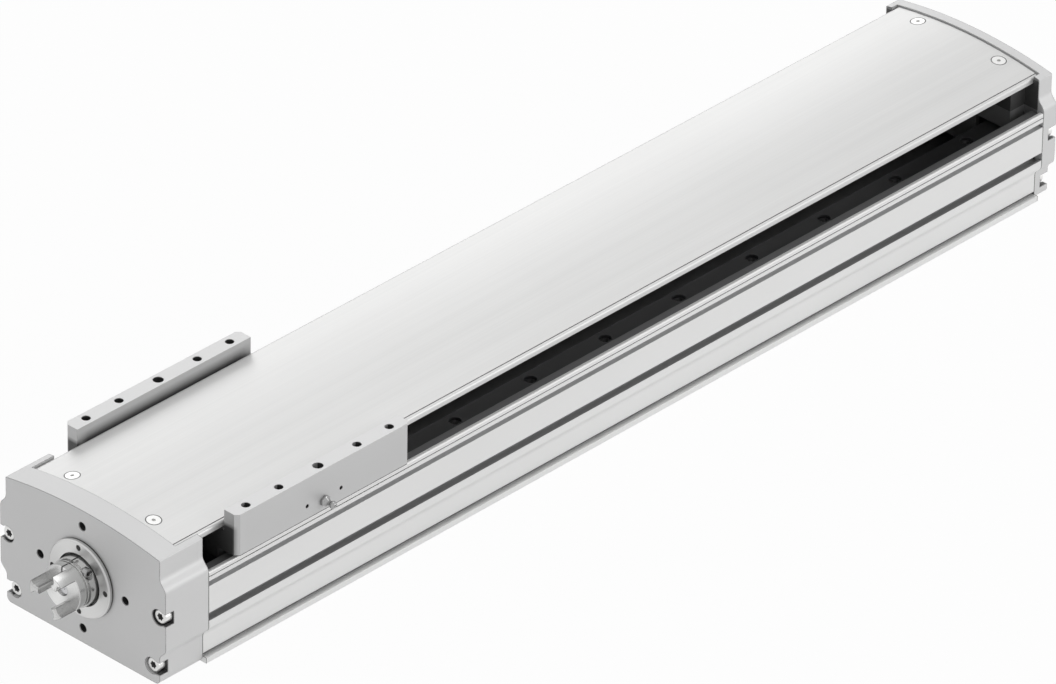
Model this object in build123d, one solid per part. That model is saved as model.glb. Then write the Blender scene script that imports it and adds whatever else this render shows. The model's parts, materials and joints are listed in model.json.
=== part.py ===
from build123d import *
import math
import os

# Ball screw linear axis, in millimetres.
# X runs along the axis from the drive end to the idle end, Z is up.
# The origin is the centre of the underside, midway between the two end faces.

# Lengths along the axis
STROKE = 500.0
SLIDE_LENGTH = 133.0
SLIDE_REST_GAP = 19.0
IDLE_END_GAP = 21.6
DRIVE_CAP_LENGTH = 32.4
IDLE_CAP_LENGTH = 11.0

# Body section
BODY_WIDTH = 126.8
AXIS_HEIGHT = 42.1
CROWN_RISE = 42.9
CROWN_RADIUS = 320.0
LIP_RISE = 17.3
SHOULDER_RISE = 26.7
SHOULDER_INSET = 4.5
WAIST_INSET = 4.7
WAIST_TOP = 16.2
WAIST_CURVE = 8.5
FOOT_INSET = 1.9
FOOT_HEIGHT = 3.4
FOOT_GROOVE = 1.9
FOOT_GROOVE_DEPTH = 1.1
WALL = 9.1
LIP_WIDTH = 2.4
LEDGE_DROP = 1.7
LIP_GROOVE = 0.6
LIP_GROOVE_DROP = 2.9
EDGE_ROUND = 0.8
FLOOR_DEPTH = 26.1
CHANNEL_GAP = 1.5

# Slots of the body
MAIN_SLOT_HEIGHT = 30.8
MAIN_SLOT_MOUTH = 5.2
MAIN_SLOT_INNER = 8.6
MAIN_SLOT_LIP = 1.9
MAIN_SLOT_DEPTH = 6.4
SENSOR_SLOT_RISE = 9.95
SENSOR_SLOT_MOUTH = 3.3
SENSOR_SLOT_DEPTH = 4.4
BASE_SLOT_Y = 40.0
BASE_SLOT_MOUTH = 6.2
BASE_SLOT_INNER = 10.4
BASE_SLOT_LIP = 2.6
BASE_SLOT_DEPTH = 7.2
CHAMBER_WALL = 3.0
CHAMBER_WIDTH = 14.5
CHAMBER_HEIGHT = 10.0
CHAMBER_BOTTOM = 11.5
CHAMBER_ROUND = 2.0

# Corner screws of the end caps
CORNER_UPPER_RISE = 1.1
CORNER_UPPER_INSET = 5.4
CORNER_LOWER_HEIGHT = 9.9
CORNER_LOWER_INSET = 10.8
CORNER_THREAD_R = 2.5
CORNER_HEAD_R = 4.25
CORNER_HEAD_LENGTH = 5.0
CORNER_SOCKET_R = 2.1
CORNER_SOCKET_DEPTH = 2.5
CORNER_GRIP = 14.0
POCKET_DEPTH = 6.3
POCKET_MOUTH = 8.0
POCKET_GAP = 0.75

# Cover
COVER_SHEET = 1.5
COVER_DROP = 0.8
COVER_RIM = 4.2
COVER_EDGE_R = 1.9
COVER_STEP = 0.35
CAP_BAND = 15.8
EAR_WALL = 4.2
COVER_EAR_GAP = 0.4
COVER_FRONT_GAP = 0.3
IDLE_RECESS = 4.8
COVER_BACK_GAP = 0.9
COVER_SCREW_Y = 31.15
COVER_SCREW_FRONT = 23.1
COVER_SCREW_BACK = 14.7
COVER_SCREW_HEAD_R = 4.1
COVER_SCREW_R = 2.0
COVER_SCREW_LENGTH = 9.0
COVER_SOCKET_R = 1.2
COVER_SOCKET_DEPTH = 2.0

# Guide rails and runner blocks
RAIL_WIDTH = 15.0
RAIL_HEIGHT = 14.0
RAIL_SEAT_DROP = 11.5
RAIL_PITCH = 60.0
RAIL_FIRST_HOLE = 38.0
RAIL_END_GAP = 0.5
RAIL_BORE_R = 2.3
RAIL_BORE_HEAD_R = 3.75
RAIL_BORE_HEAD_DEPTH = 5.3
RAIL_SCREW_R = 2.0
RAIL_SCREW_HEAD_R = 3.5
RAIL_SCREW_HEAD = 4.0
RAIL_SCREW_GRIP = 6.0
BLOCK_WIDTH = 34.0
BLOCK_STACK = 24.0
BLOCK_FLOOR = 4.3
BLOCK_BODY = 40.0
BLOCK_END = 7.0
BLOCK_HOLE_PITCH = 26.0
BLOCK_WALL_GAP = 1.4
BLOCK_SCREW_GRIP = 5.5
BLOCK_SCREW_R = 2.0
BLOCK_SCREW_HEAD_R = 3.5
BLOCK_SCREW_HEAD = 4.0
BLOCK_SCREW_SEAT = 6.0
BLOCK_END_INSET = 0.5

# Slide
SLIDE_COVER_GAP = 1.9
SLIDE_RAIL_WIDTH = 9.8
SLIDE_RISE = 45.6
SLIDE_CHAMFER = 2.3
NECK_LIP_GAP = 2.05
NECK_RIM_GAP = 0.9
PLATE_SIDE_GAP = 2.8
SLIDE_HOLE_FAR = 55.0
SLIDE_HOLE_NEAR = 30.0
SLIDE_HOLE_R = 2.6
SLIDE_HOLE_DEPTH = 14.0
SLIDE_PIN_R = 3.1
SLIDE_PIN_DEPTH = 6.0
SIDE_HOLE_OFFSET = 13.0
SIDE_HOLE_R = 1.2
SIDE_HOLE_DEPTH = 5.0
SIDE_HOLE_RISE = 27.6
NIPPLE_RISE = 25.6
NIPPLE_R = 2.4
NIPPLE_SEAT = 4.0
NIPPLE_COLLAR_R = 3.4
NIPPLE_COLLAR = 1.6
NIPPLE_NECK_R = 1.5
NIPPLE_NECK_END = 5.2
NIPPLE_BALL_R = 2.3
NIPPLE_LENGTH = 8.6

# Ball screw and nut
SCREW_R = 7.5
SCREW_SHOULDER_GAP = 0.3
NUT_BODY_R = 12.5
NUT_BODY_LENGTH = 38.0
NUT_FLANGE_R = 18.5
NUT_FLANGE = 6.0
NUT_BOSS = 5.0
NUT_SEAL_R = 10.5
NUT_SEAL = 2.5
NUT_SCREW_CIRCLE_R = 15.6
NUT_SCREW_R = 1.5
NUT_SCREW_HEAD_R = 2.6
NUT_SCREW_HEAD = 2.5
NUT_SCREW_GRIP = 4.0
NUT_SCREWS = 6
BRACKET_LENGTH = 14.0
BRACKET_SIDE_GAP = 2.9
BRACKET_DROP = 17.0
BRACKET_SCREW_GRIP = 11.0
BRACKET_END_GAP = 1.0
NUT_ROOM = 0.8

# Fixed bearing pair, lock ring and shaft nut at the drive end
FIXED_BORE_R = 6.0
FIXED_OUTER_R = 16.0
FIXED_WIDTH = 10.0
FIXED_ROWS = 2
FIXED_BALL_R = 2.6
FIXED_BALLS = 10
RING_R = 23.5
RING_FLANGE = 3.0
RING_NECK_R = 17.5
RING_NECK = 8.0
RING_BORE_R = 15.9
RING_LAND = 2.0
RING_LAND_R = 12.9
RING_CHAMFER = 0.8
RING_HOLE_CIRCLE_R = 20.2
RING_HOLE_R = 1.75
RING_HOLE_DEPTH = 2.2
SHAFT_NUT_R = 9.5
SHAFT_NUT = 5.0
SHAFT_NUT_SLOT = 3.0
SHAFT_NUT_SLOT_DEPTH = 2.0
SHAFT_STEP = 1.0
FACE_HOLE_CIRCLE_R = 32.6
FACE_HOLE_R = 2.6
FACE_HOLE_DEPTH = 12.0
QUARTERS = 4
CAP_REAR_BORE_R = 12.0

# Share of a ball's radius between the ball circle and each ring
TRACK_SHARE = 0.55

# Floating bearing at the idle end
FLOAT_BORE_R = 5.0
FLOAT_OUTER_R = 13.0
FLOAT_WIDTH = 8.0
FLOAT_BALL_R = 2.1
FLOAT_BALLS = 8
TONGUE_LENGTH = 12.0
TONGUE_SIDE_GAP = 4.0
FLOAT_SETBACK = 6.0
CIRCLIP = 1.0
CIRCLIP_R = 6.3
CIRCLIP_GROOVE = 0.5
IDLE_BORE_STEP = 2.0
SHAFT_TAIL = 1.6
TAIL_ROOM = 1.0

# Coupling hub
HUB_FACE = 15.5
SHAFT_SETBACK = 1.2
SHAFT_CENTRE_R = 1.2
HUB_FRONT_R = 13.9
HUB_REAR_R = 14.6
HUB_BORE_R = 4.3
HUB_REAR_END = 2.0
HUB_GROOVE_START = 10.5
HUB_GROOVE_END = 7.8
HUB_GROOVE_DEPTH = 0.7
HUB_CHAMFER = 0.4
CLAW_LENGTH = 10.5
CLAWS = 3
CLAW_FIRST_ANGLE = 0.0
CLAW_INNER_R = 7.6
CLAW_HALF_WIDTH = 5.0
CLAW_CHAMFER = 0.6
SPIDER_ARM_R = 4.0
SPIDER_ARM_X = 9.5
SPIDER_ARM_Y = 5.5
SLIT = 0.9
CLAMP_SCREW_X = -6.1
CLAMP_SCREW_RISE = 10.0
CLAMP_SCREW_R = 1.5
CLAMP_HEAD_R = 2.75
CLAMP_HEAD_SEAT = 7.4
CLAMP_HEAD_LENGTH = 3.4
DIMPLE_R = 0.75
DIMPLE_DEPTH = 1.2
DIMPLE_ANGLES = (99.0, 174.0)

# End buffers
BUFFER_R = 5.0
BUFFER_LENGTH = 5.0
BUFFER_Y = 30.0
BUFFER_RISE = 25.0
BUFFER_PIN_R = 2.0
BUFFER_PIN = 6.0

# Clearances
SEAT_GAP = 0.05
SHAFT_GAP = 0.3
RUNNER_GAP = 0.4
THREAD_GAP = 0.1

# Worked out from the sizes above
PROFILE_LENGTH = SLIDE_REST_GAP + SLIDE_LENGTH + STROKE + IDLE_END_GAP
LENGTH = DRIVE_CAP_LENGTH + PROFILE_LENGTH + IDLE_CAP_LENGTH
PROFILE_END = DRIVE_CAP_LENGTH + PROFILE_LENGTH
BODY_HALF = BODY_WIDTH / 2
WALL_INNER = BODY_HALF - WALL
CROWN_Z = AXIS_HEIGHT + CROWN_RISE
LIP_Z = AXIS_HEIGHT + LIP_RISE
LEDGE_Z = LIP_Z - LEDGE_DROP
SHOULDER_HALF = BODY_HALF - SHOULDER_INSET
COVER_HALF = SHOULDER_HALF - EAR_WALL - COVER_EAR_GAP
COVER_TOP = CROWN_Z - COVER_DROP
SEAT_Z = AXIS_HEIGHT - RAIL_SEAT_DROP
PLATE_BOTTOM = SEAT_Z + BLOCK_STACK
RAIL_Y = WALL_INNER - BLOCK_WALL_GAP - BLOCK_WIDTH / 2
CHANNEL_HALF = RAIL_Y - RAIL_WIDTH / 2 - CHANNEL_GAP
CHAMBER_Y = CHANNEL_HALF + CHAMBER_WALL + CHAMBER_WIDTH / 2
SLIDE_START = DRIVE_CAP_LENGTH + SLIDE_REST_GAP
SLIDE_MID = SLIDE_START + SLIDE_LENGTH / 2
BLOCK_ROOM = BRACKET_LENGTH + NUT_FLANGE + NUT_SCREW_HEAD + 2 * BRACKET_END_GAP
BLOCK_PAIR = BLOCK_ROOM + BLOCK_BODY + 2 * BLOCK_END
BRACKET_END = SLIDE_MID + BLOCK_ROOM / 2 - BRACKET_END_GAP
BRACKET_START = BRACKET_END - BRACKET_LENGTH
BRACKET_HALF = CHANNEL_HALF - BRACKET_SIDE_GAP
BRACKET_SCREW_Y = (BRACKET_HALF + NUT_BODY_R) / 2
SLIDE_RAIL_IN = COVER_HALF + SLIDE_COVER_GAP
SLIDE_RAIL_OUT = SLIDE_RAIL_IN + SLIDE_RAIL_WIDTH
SLIDE_TOP = AXIS_HEIGHT + SLIDE_RISE
SLIDE_HOLE_Y = (SLIDE_RAIL_IN + SLIDE_RAIL_OUT) / 2
FIXED_START = RING_NECK
SHAFT_NUT_BORE_R = FIXED_BORE_R - SHAFT_STEP
FIXED_END = FIXED_START + FIXED_ROWS * FIXED_WIDTH
FLOAT_START = PROFILE_END - FLOAT_SETBACK
FLOAT_END = FLOAT_START + FLOAT_WIDTH
TONGUE_START = PROFILE_END - TONGUE_LENGTH
COVER_SCREW_END = LENGTH - COVER_SCREW_BACK
CORNERS = [
    (BODY_HALF - CORNER_UPPER_INSET, AXIS_HEIGHT + CORNER_UPPER_RISE),
    (BODY_HALF - CORNER_LOWER_INSET, CORNER_LOWER_HEIGHT),
]
SIDES = (-1, 1)
SHAFT = Axis((0, 0, AXIS_HEIGHT), (1, 0, 0))


def crown_z(y, top=CROWN_Z):
    """Height of the crowned top at a distance y from the middle."""
    return top - CROWN_RADIUS + math.sqrt(CROWN_RADIUS**2 - y**2)


COVER_RIM_Z = crown_z(COVER_HALF - COVER_EDGE_R, COVER_TOP) - COVER_RIM
PLATE_TOP = COVER_RIM_Z - NECK_RIM_GAP
PLATE_HALF = WALL_INNER - PLATE_SIDE_GAP
SUPPORT_HALF = COVER_HALF - COVER_SHEET - COVER_EAR_GAP
SUPPORT_TOP = COVER_TOP - COVER_SHEET - SEAT_GAP
SUPPORT_R = CROWN_RADIUS - COVER_SHEET


def along(x):
    """Position of a distance from the drive face in the part's own frame."""
    return x - LENGTH / 2


def bar(face, start, end):
    """Extrude a face drawn in (Y, Z) from one distance along the axis to another."""
    return extrude(Plane.YZ.offset(along(start)) * face, amount=end - start)


def block(half_width, bottom, top):
    """Rectangle centred on the middle plane."""
    return Pos(0, (bottom + top) / 2) * Rectangle(2 * half_width, top - bottom)


def disc(radius, y=0.0, z=AXIS_HEIGHT):
    """Circle in the (Y, Z) section, on the shaft axis unless placed."""
    return Pos(y, z) * Circle(radius)


def round_places(radius, count, first=0.0):
    """Places spread evenly on a circle round the shaft, as (y, z)."""
    angles = [math.radians(first + 360 / count * turn) for turn in range(count)]
    return [(radius * math.cos(angle), AXIS_HEIGHT + radius * math.sin(angle)) for angle in angles]


def turned(points):
    """Revolve a closed outline of (distance, radius) points about the shaft axis."""
    corners = [(along(x), 0, AXIS_HEIGHT + r) for x, r in points]
    return revolve(make_face(Polyline(*corners, close=True)), SHAFT)


def upright(radius, x, y, bottom, top):
    """Vertical cylinder."""
    return Pos(along(x), y, (bottom + top) / 2) * Cylinder(radius, top - bottom)


def both_sides(edges):
    """Close a right-hand outline with its mirror image."""
    half = Curve() + edges
    return make_face(half + mirror(half, Plane.YZ))


def one(shapes):
    """Fuse a list of shapes into one."""
    return shapes[0].fuse(*shapes[1:])


def group(solids):
    """Keep separate pieces together in one node."""
    return Compound(children=[piece.solid() for piece in solids])


def crown_arc(half, top=CROWN_Z, radius=CROWN_RADIUS):
    """Right half of a crowned top, as an arc from the middle outwards."""
    span = math.degrees(math.asin(half / radius))
    return CenterArc((0, top - radius), radius, 90, -span)


def cap_outline():
    """Outline shared by both end caps: crowned, with narrow shoulders and waist."""
    waist = BODY_HALF - WAIST_INSET
    shoulder_z = AXIS_HEIGHT + SHOULDER_RISE
    curve_top = WAIST_TOP + WAIST_CURVE
    bend = (shoulder_z - LIP_Z) / 2
    toe = 4 * EDGE_ROUND
    edge = crown_arc(SHOULDER_HALF)
    return both_sides([
        edge,
        Line(edge @ 1, (SHOULDER_HALF, shoulder_z)),
        Bezier((SHOULDER_HALF, shoulder_z), (SHOULDER_HALF, shoulder_z - bend),
               (BODY_HALF, LIP_Z + bend), (BODY_HALF, LIP_Z)),
        Line((BODY_HALF, LIP_Z), (BODY_HALF, curve_top)),
        Bezier((BODY_HALF, curve_top), (BODY_HALF, curve_top - WAIST_CURVE / 2),
               (waist, WAIST_TOP + WAIST_CURVE / 2), (waist, WAIST_TOP)),
        Line((waist, WAIST_TOP), (waist, toe)),
        JernArc((waist, toe), (0, -1), toe, -90),
        Line((waist - toe, 0), (0, 0)),
    ])


def cap_bar(start, end):
    """Extruded cap outline with rounded shoulder edges."""
    body = bar(cap_outline(), start, end)
    shoulders = body.edges().filter_by(Axis.X).sort_by(Axis.Z)[-3:-1]
    return fillet(shoulders, EDGE_ROUND)


def side_slot(mouth, inner, lip, depth, height):
    """T-slot cut into both side faces of the body."""
    faces = []
    for side in SIDES:
        throat = Pos(side * (BODY_HALF - depth / 2), height) * Rectangle(depth, mouth)
        room = Pos(side * (BODY_HALF - (lip + depth) / 2), height) * Rectangle(depth - lip, inner)
        faces += [throat, room]
    return one(faces)


def base_slots():
    """Two T-slots in the underside."""
    faces = []
    for side in SIDES:
        y = side * BASE_SLOT_Y
        faces.append(Pos(y, BASE_SLOT_DEPTH / 2) * Rectangle(BASE_SLOT_MOUTH, BASE_SLOT_DEPTH))
        middle = (BASE_SLOT_LIP + BASE_SLOT_DEPTH) / 2
        faces.append(Pos(y, middle) * Rectangle(BASE_SLOT_INNER, BASE_SLOT_DEPTH - BASE_SLOT_LIP))
    return one(faces)


def body_outline():
    """Outer and inner outline of the extruded body, open at the top."""
    waist = BODY_HALF - WAIST_INSET
    foot = BODY_HALF - FOOT_INSET
    groove = waist - FOOT_GROOVE_DEPTH
    groove_top = FOOT_HEIGHT + FOOT_GROOVE
    curve_top = WAIST_TOP + WAIST_CURVE
    lip = BODY_HALF - LIP_WIDTH
    floor = AXIS_HEIGHT - FLOOR_DEPTH
    return both_sides([
        Polyline((0, 0), (foot, 0), (foot, FOOT_HEIGHT), (groove, FOOT_HEIGHT),
                 (groove, groove_top), (waist, groove_top), (waist, WAIST_TOP)),
        Bezier((waist, WAIST_TOP), (waist, WAIST_TOP + WAIST_CURVE / 2),
               (BODY_HALF, curve_top - WAIST_CURVE / 2), (BODY_HALF, curve_top)),
        Line((BODY_HALF, curve_top), (BODY_HALF, LIP_Z - EDGE_ROUND)),
        JernArc((BODY_HALF, LIP_Z - EDGE_ROUND), (0, 1), EDGE_ROUND, 90),
        Polyline((BODY_HALF - EDGE_ROUND, LIP_Z), (lip, LIP_Z), (lip, LEDGE_Z),
                 (WALL_INNER, LEDGE_Z), (WALL_INNER, SEAT_Z), (CHANNEL_HALF, SEAT_Z),
                 (CHANNEL_HALF, floor), (0, floor)),
    ])


def body_hollows():
    """Chambers under the rail seats and the four screw channels."""
    chamber_z = CHAMBER_BOTTOM + CHAMBER_HEIGHT / 2
    faces = []
    for side in SIDES:
        chamber = RectangleRounded(CHAMBER_WIDTH, CHAMBER_HEIGHT, CHAMBER_ROUND)
        faces.append(Pos(side * CHAMBER_Y, chamber_z) * chamber)
        faces += [disc(CORNER_THREAD_R + THREAD_GAP, side * y, z) for y, z in CORNERS]
    return faces


def profile():
    """Extruded body with its slots, lips, rail seats and chambers."""
    lip_groove = side_slot(LIP_GROOVE, LIP_GROOVE, LIP_GROOVE, 2 * LIP_GROOVE, LIP_Z - LIP_GROOVE_DROP)
    section = body_outline()
    section -= side_slot(MAIN_SLOT_MOUTH, MAIN_SLOT_INNER, MAIN_SLOT_LIP, MAIN_SLOT_DEPTH, MAIN_SLOT_HEIGHT)
    section -= side_slot(SENSOR_SLOT_MOUTH, SENSOR_SLOT_MOUTH, SENSOR_SLOT_DEPTH / 2, SENSOR_SLOT_DEPTH,
                         AXIS_HEIGHT + SENSOR_SLOT_RISE)
    section -= lip_groove
    section -= base_slots()
    for hollow in body_hollows():
        section -= hollow
    body = bar(section, DRIVE_CAP_LENGTH, PROFILE_END)
    for side in SIDES:
        for x in rail_hole_places():
            depth = RAIL_SCREW_GRIP + THREAD_GAP
            body -= upright(RAIL_SCREW_R + THREAD_GAP, x, side * RAIL_Y, SEAT_Z - depth, SEAT_Z)
    return body


def crowned(half, bottom):
    """Block whose top follows the underside of the cover."""
    edge = crown_arc(half, SUPPORT_TOP, SUPPORT_R)
    return both_sides([edge, Line(edge @ 1, (half, bottom)), Line((half, bottom), (0, bottom))])


def cover_room():
    """Space above the cover's support in an end cap, open at the top."""
    room = block(COVER_HALF + COVER_EAR_GAP, COVER_RIM_Z - COVER_EAR_GAP, CROWN_Z + EDGE_ROUND)
    return room - crowned(SUPPORT_HALF, PLATE_TOP)


def corner_pockets(face_x, direction):
    """Side-open pockets for the corner screw heads, and their through holes."""
    inward = face_x + direction * POCKET_DEPTH
    start, end = sorted((face_x, inward))
    cuts = []
    for side in SIDES:
        for y, z in CORNERS:
            reach = BODY_HALF - y
            cuts.append(bar(disc(CORNER_HEAD_R + POCKET_GAP, side * y, z), start, end))
            gate = Pos(side * (y + reach / 2), z) * Rectangle(reach, POCKET_MOUTH)
            cuts.append(bar(gate, start, end))
    return cuts


def corner_holes(start, end):
    """Clearance holes of the four corner screws."""
    radius = CORNER_THREAD_R + 2 * THREAD_GAP
    return [bar(disc(radius, side * y, z), start, end) for side in SIDES for y, z in CORNERS]


def cover_screw_place(x, side):
    """Frame of a cover screw: on the cover's surface, along its normal."""
    y = side * COVER_SCREW_Y
    tilt = math.degrees(math.asin(COVER_SCREW_Y / CROWN_RADIUS))
    return Pos(along(x), y, crown_z(y, COVER_TOP)) * Rot(-side * tilt, 0, 0)


def countersunk(gap=0.0, above=0.0):
    """Countersunk screw with its head at z = 0, or its hole, grown by a gap and carried on above."""
    shank = COVER_SCREW_R + gap
    head = COVER_SCREW_HEAD_R + gap + above
    outline = [(0, above), (head, above), (shank, COVER_SCREW_R - COVER_SCREW_HEAD_R),
               (shank, -COVER_SCREW_LENGTH), (0, -COVER_SCREW_LENGTH)]
    face = make_face(Polyline(*[(radius, 0, height) for radius, height in outline], close=True))
    return revolve(face, Axis.Z)


def cover_screw_cuts(x):
    """Holes for the two cover screws at one end, open above the cover."""
    return [cover_screw_place(x, side) * countersunk(THREAD_GAP, EDGE_ROUND) for side in SIDES]


def buffer_pins(x):
    """Holes for the pins of the two buffers on a face at x."""
    z = AXIS_HEIGHT + BUFFER_RISE
    return [bar(disc(BUFFER_PIN_R + SEAT_GAP, side * BUFFER_Y, z), x - BUFFER_PIN, x + BUFFER_PIN)
            for side in SIDES]


def drive_end_cap():
    """Drive end cap: bearing housing, cover seat, screw pockets and motor face."""
    cap = cap_bar(0, DRIVE_CAP_LENGTH)
    cap -= bar(cover_room(), CAP_BAND, DRIVE_CAP_LENGTH)
    cap -= bar(disc(RING_NECK_R + SEAT_GAP), 0, FIXED_START)
    cap -= bar(disc(FIXED_OUTER_R + SEAT_GAP), FIXED_START, FIXED_END)
    cap -= bar(disc(CAP_REAR_BORE_R), FIXED_END, DRIVE_CAP_LENGTH)
    for y, z in round_places(FACE_HOLE_CIRCLE_R, QUARTERS):
        cap -= bar(disc(FACE_HOLE_R, y, z), 0, FACE_HOLE_DEPTH)
    cuts = corner_pockets(0, 1) + corner_holes(POCKET_DEPTH, DRIVE_CAP_LENGTH)
    for cut in cuts + cover_screw_cuts(COVER_SCREW_FRONT) + buffer_pins(DRIVE_CAP_LENGTH):
        cap -= cut
    return cap


def tongue():
    """Block of the idle cap inside the body: carries the floating bearing and the cover."""
    floor = AXIS_HEIGHT - FLOAT_OUTER_R - TONGUE_SIDE_GAP
    lower = block(CHANNEL_HALF - TONGUE_SIDE_GAP, floor, PLATE_BOTTOM)
    rail_top = SEAT_Z + RAIL_HEIGHT + TONGUE_SIDE_GAP / 2
    half = SUPPORT_HALF - TONGUE_SIDE_GAP
    upper = block(half, rail_top, COVER_RIM_Z)
    roof = crowned(half, PLATE_TOP)
    return bar(one([lower, upper, roof]), TONGUE_START, PROFILE_END)


def idle_end_cap():
    """Idle end cap with its cover recess, tongue and floating bearing seat."""
    cap = cap_bar(PROFILE_END, LENGTH)
    cap -= bar(cover_room(), PROFILE_END, PROFILE_END + IDLE_RECESS)
    cap += tongue()
    tail_end = FLOAT_END + CIRCLIP + SHAFT_TAIL + TAIL_ROOM
    cap -= bar(disc(SCREW_R + 4 * SHAFT_GAP), TONGUE_START, FLOAT_START)
    cap -= bar(disc(FLOAT_OUTER_R + SEAT_GAP), FLOAT_START, FLOAT_END)
    cap -= bar(disc(FLOAT_OUTER_R - IDLE_BORE_STEP), FLOAT_START, tail_end)
    cuts = corner_pockets(LENGTH, -1) + corner_holes(PROFILE_END, LENGTH - POCKET_DEPTH)
    for cut in cuts + cover_screw_cuts(COVER_SCREW_END) + buffer_pins(TONGUE_START):
        cap -= cut
    return cap


def top_cover():
    """Crowned cover sheet with turned-down edges and four countersunk holes."""
    edge_y = COVER_HALF - COVER_EDGE_R
    edge_z = crown_z(edge_y, COVER_TOP)
    step_z = edge_z - COVER_STEP
    inner = COVER_HALF - COVER_SHEET
    under = crown_arc(inner, COVER_TOP - COVER_SHEET, CROWN_RADIUS - COVER_SHEET)
    top = crown_arc(edge_y, COVER_TOP)
    section = both_sides([
        top,
        Line(top @ 1, (edge_y, step_z)),
        JernArc((edge_y, step_z), (1, 0), COVER_EDGE_R, -90),
        Polyline((COVER_HALF, step_z - COVER_EDGE_R), (COVER_HALF, COVER_RIM_Z), (inner, COVER_RIM_Z),
                 under @ 1),
        under,
    ])
    back = PROFILE_END + IDLE_RECESS - COVER_BACK_GAP
    cover = bar(section, CAP_BAND + COVER_FRONT_GAP, back)
    for cut in cover_screw_cuts(COVER_SCREW_FRONT) + cover_screw_cuts(COVER_SCREW_END):
        cover -= cut
    return cover


def cover_screws():
    """Four countersunk screws with hexagon sockets."""
    socket = extrude(RegularPolygon(COVER_SOCKET_R, 6), amount=-COVER_SOCKET_DEPTH)
    screw = countersunk() - socket
    places = [(x, side) for x in (COVER_SCREW_FRONT, COVER_SCREW_END) for side in SIDES]
    return group([cover_screw_place(x, side) * screw for x, side in places])


def corner_screws(face_x, direction):
    """Four cap screws whose heads sit in the side-open pockets of one end cap."""
    seat = face_x + direction * POCKET_DEPTH
    top = seat - direction * CORNER_HEAD_LENGTH
    cap = DRIVE_CAP_LENGTH if direction > 0 else IDLE_CAP_LENGTH
    tip = face_x + direction * (cap + CORNER_GRIP)
    screws = []
    for side in SIDES:
        for y, z in CORNERS:
            head = bar(disc(CORNER_HEAD_R, side * y, z), *sorted((seat, top)))
            socket = Pos(side * y, z) * RegularPolygon(CORNER_SOCKET_R, 6)
            head -= bar(socket, *sorted((top, top + direction * CORNER_SOCKET_DEPTH)))
            screws.append(head + bar(disc(CORNER_THREAD_R, side * y, z), *sorted((seat, tip))))
    return group(screws)


def rail_section():
    """Guide rail section with its side raceways, standing on z = 0."""
    half = RAIL_WIDTH / 2
    waist = half - RAIL_WIDTH / 10
    return both_sides([
        Polyline((0, 0), (half, 0), (half, 0.36 * RAIL_HEIGHT), (waist, 0.46 * RAIL_HEIGHT),
                 (waist, 0.64 * RAIL_HEIGHT), (half, 0.75 * RAIL_HEIGHT), (half, 0.95 * RAIL_HEIGHT),
                 (half - 0.05 * RAIL_HEIGHT, RAIL_HEIGHT), (0, RAIL_HEIGHT)),
    ])


def rail_hole_places():
    """Distances of the guide rail screws from the drive face."""
    start = DRIVE_CAP_LENGTH + RAIL_END_GAP
    room = PROFILE_LENGTH - 2 * RAIL_END_GAP - RAIL_FIRST_HOLE - RAIL_BORE_HEAD_R
    count = int(room // RAIL_PITCH) + 1
    return [start + RAIL_FIRST_HOLE + RAIL_PITCH * place for place in range(count)]


def guide_rail(side):
    """Guide rail screwed to its seat, with counterbored holes at a fixed pitch."""
    section = Pos(side * RAIL_Y, SEAT_Z) * rail_section()
    top = SEAT_Z + RAIL_HEIGHT
    rail = bar(section, DRIVE_CAP_LENGTH + RAIL_END_GAP, PROFILE_END - RAIL_END_GAP)
    for x in rail_hole_places():
        rail -= upright(RAIL_BORE_R, x, side * RAIL_Y, SEAT_Z, top)
        rail -= upright(RAIL_BORE_HEAD_R, x, side * RAIL_Y, top - RAIL_BORE_HEAD_DEPTH, top)
    return rail


def guide_rail_screws(side):
    """One socket screw in each counterbore of a guide rail."""
    seat = SEAT_Z + RAIL_HEIGHT - RAIL_BORE_HEAD_DEPTH
    screws = []
    for x in rail_hole_places():
        shank = upright(RAIL_SCREW_R, x, side * RAIL_Y, SEAT_Z - RAIL_SCREW_GRIP, seat)
        head = upright(RAIL_SCREW_HEAD_R, x, side * RAIL_Y, seat, seat + RAIL_SCREW_HEAD)
        screws.append(shank + head)
    return group(screws)


def block_mids():
    """Middles of the front and rear runner blocks."""
    return [SLIDE_MID - BLOCK_PAIR / 2, SLIDE_MID + BLOCK_PAIR / 2]


def runner_section(inset):
    """Section of a runner block on its rail, with a running gap."""
    bottom = SEAT_Z + BLOCK_FLOOR
    width = BLOCK_WIDTH - 2 * inset
    top = PLATE_BOTTOM - inset
    outline = Pos(0, (bottom + top) / 2) * Rectangle(width, top - bottom)
    channel = Pos(0, SEAT_Z) * offset(rail_section(), RUNNER_GAP, kind=Kind.INTERSECTION)
    return outline - channel


def runner_block(side, mid):
    """Steel body of a runner block with its four tapped holes."""
    half = BLOCK_BODY / 2
    body = bar(Pos(side * RAIL_Y, 0) * runner_section(0), mid - half, mid + half)
    for x, y in block_hole_places(side, mid):
        depth = BLOCK_SCREW_GRIP + THREAD_GAP
        body -= upright(BLOCK_SCREW_R + THREAD_GAP, x, y, PLATE_BOTTOM - depth, PLATE_BOTTOM)
    return body


def block_hole_places(side, mid):
    """Square of four screw places on a runner block."""
    step = BLOCK_HOLE_PITCH / 2
    return [(mid + a * step, side * RAIL_Y + b * step) for a in SIDES for b in SIDES]


def runner_end_caps(side, mid):
    """Return caps at both ends of a runner block, a little smaller than its body."""
    half = BLOCK_BODY / 2
    section = Pos(side * RAIL_Y, 0) * runner_section(BLOCK_END_INSET)
    return group([bar(section, mid + half, mid + half + BLOCK_END),
                  bar(section, mid - half - BLOCK_END, mid - half)])


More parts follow.
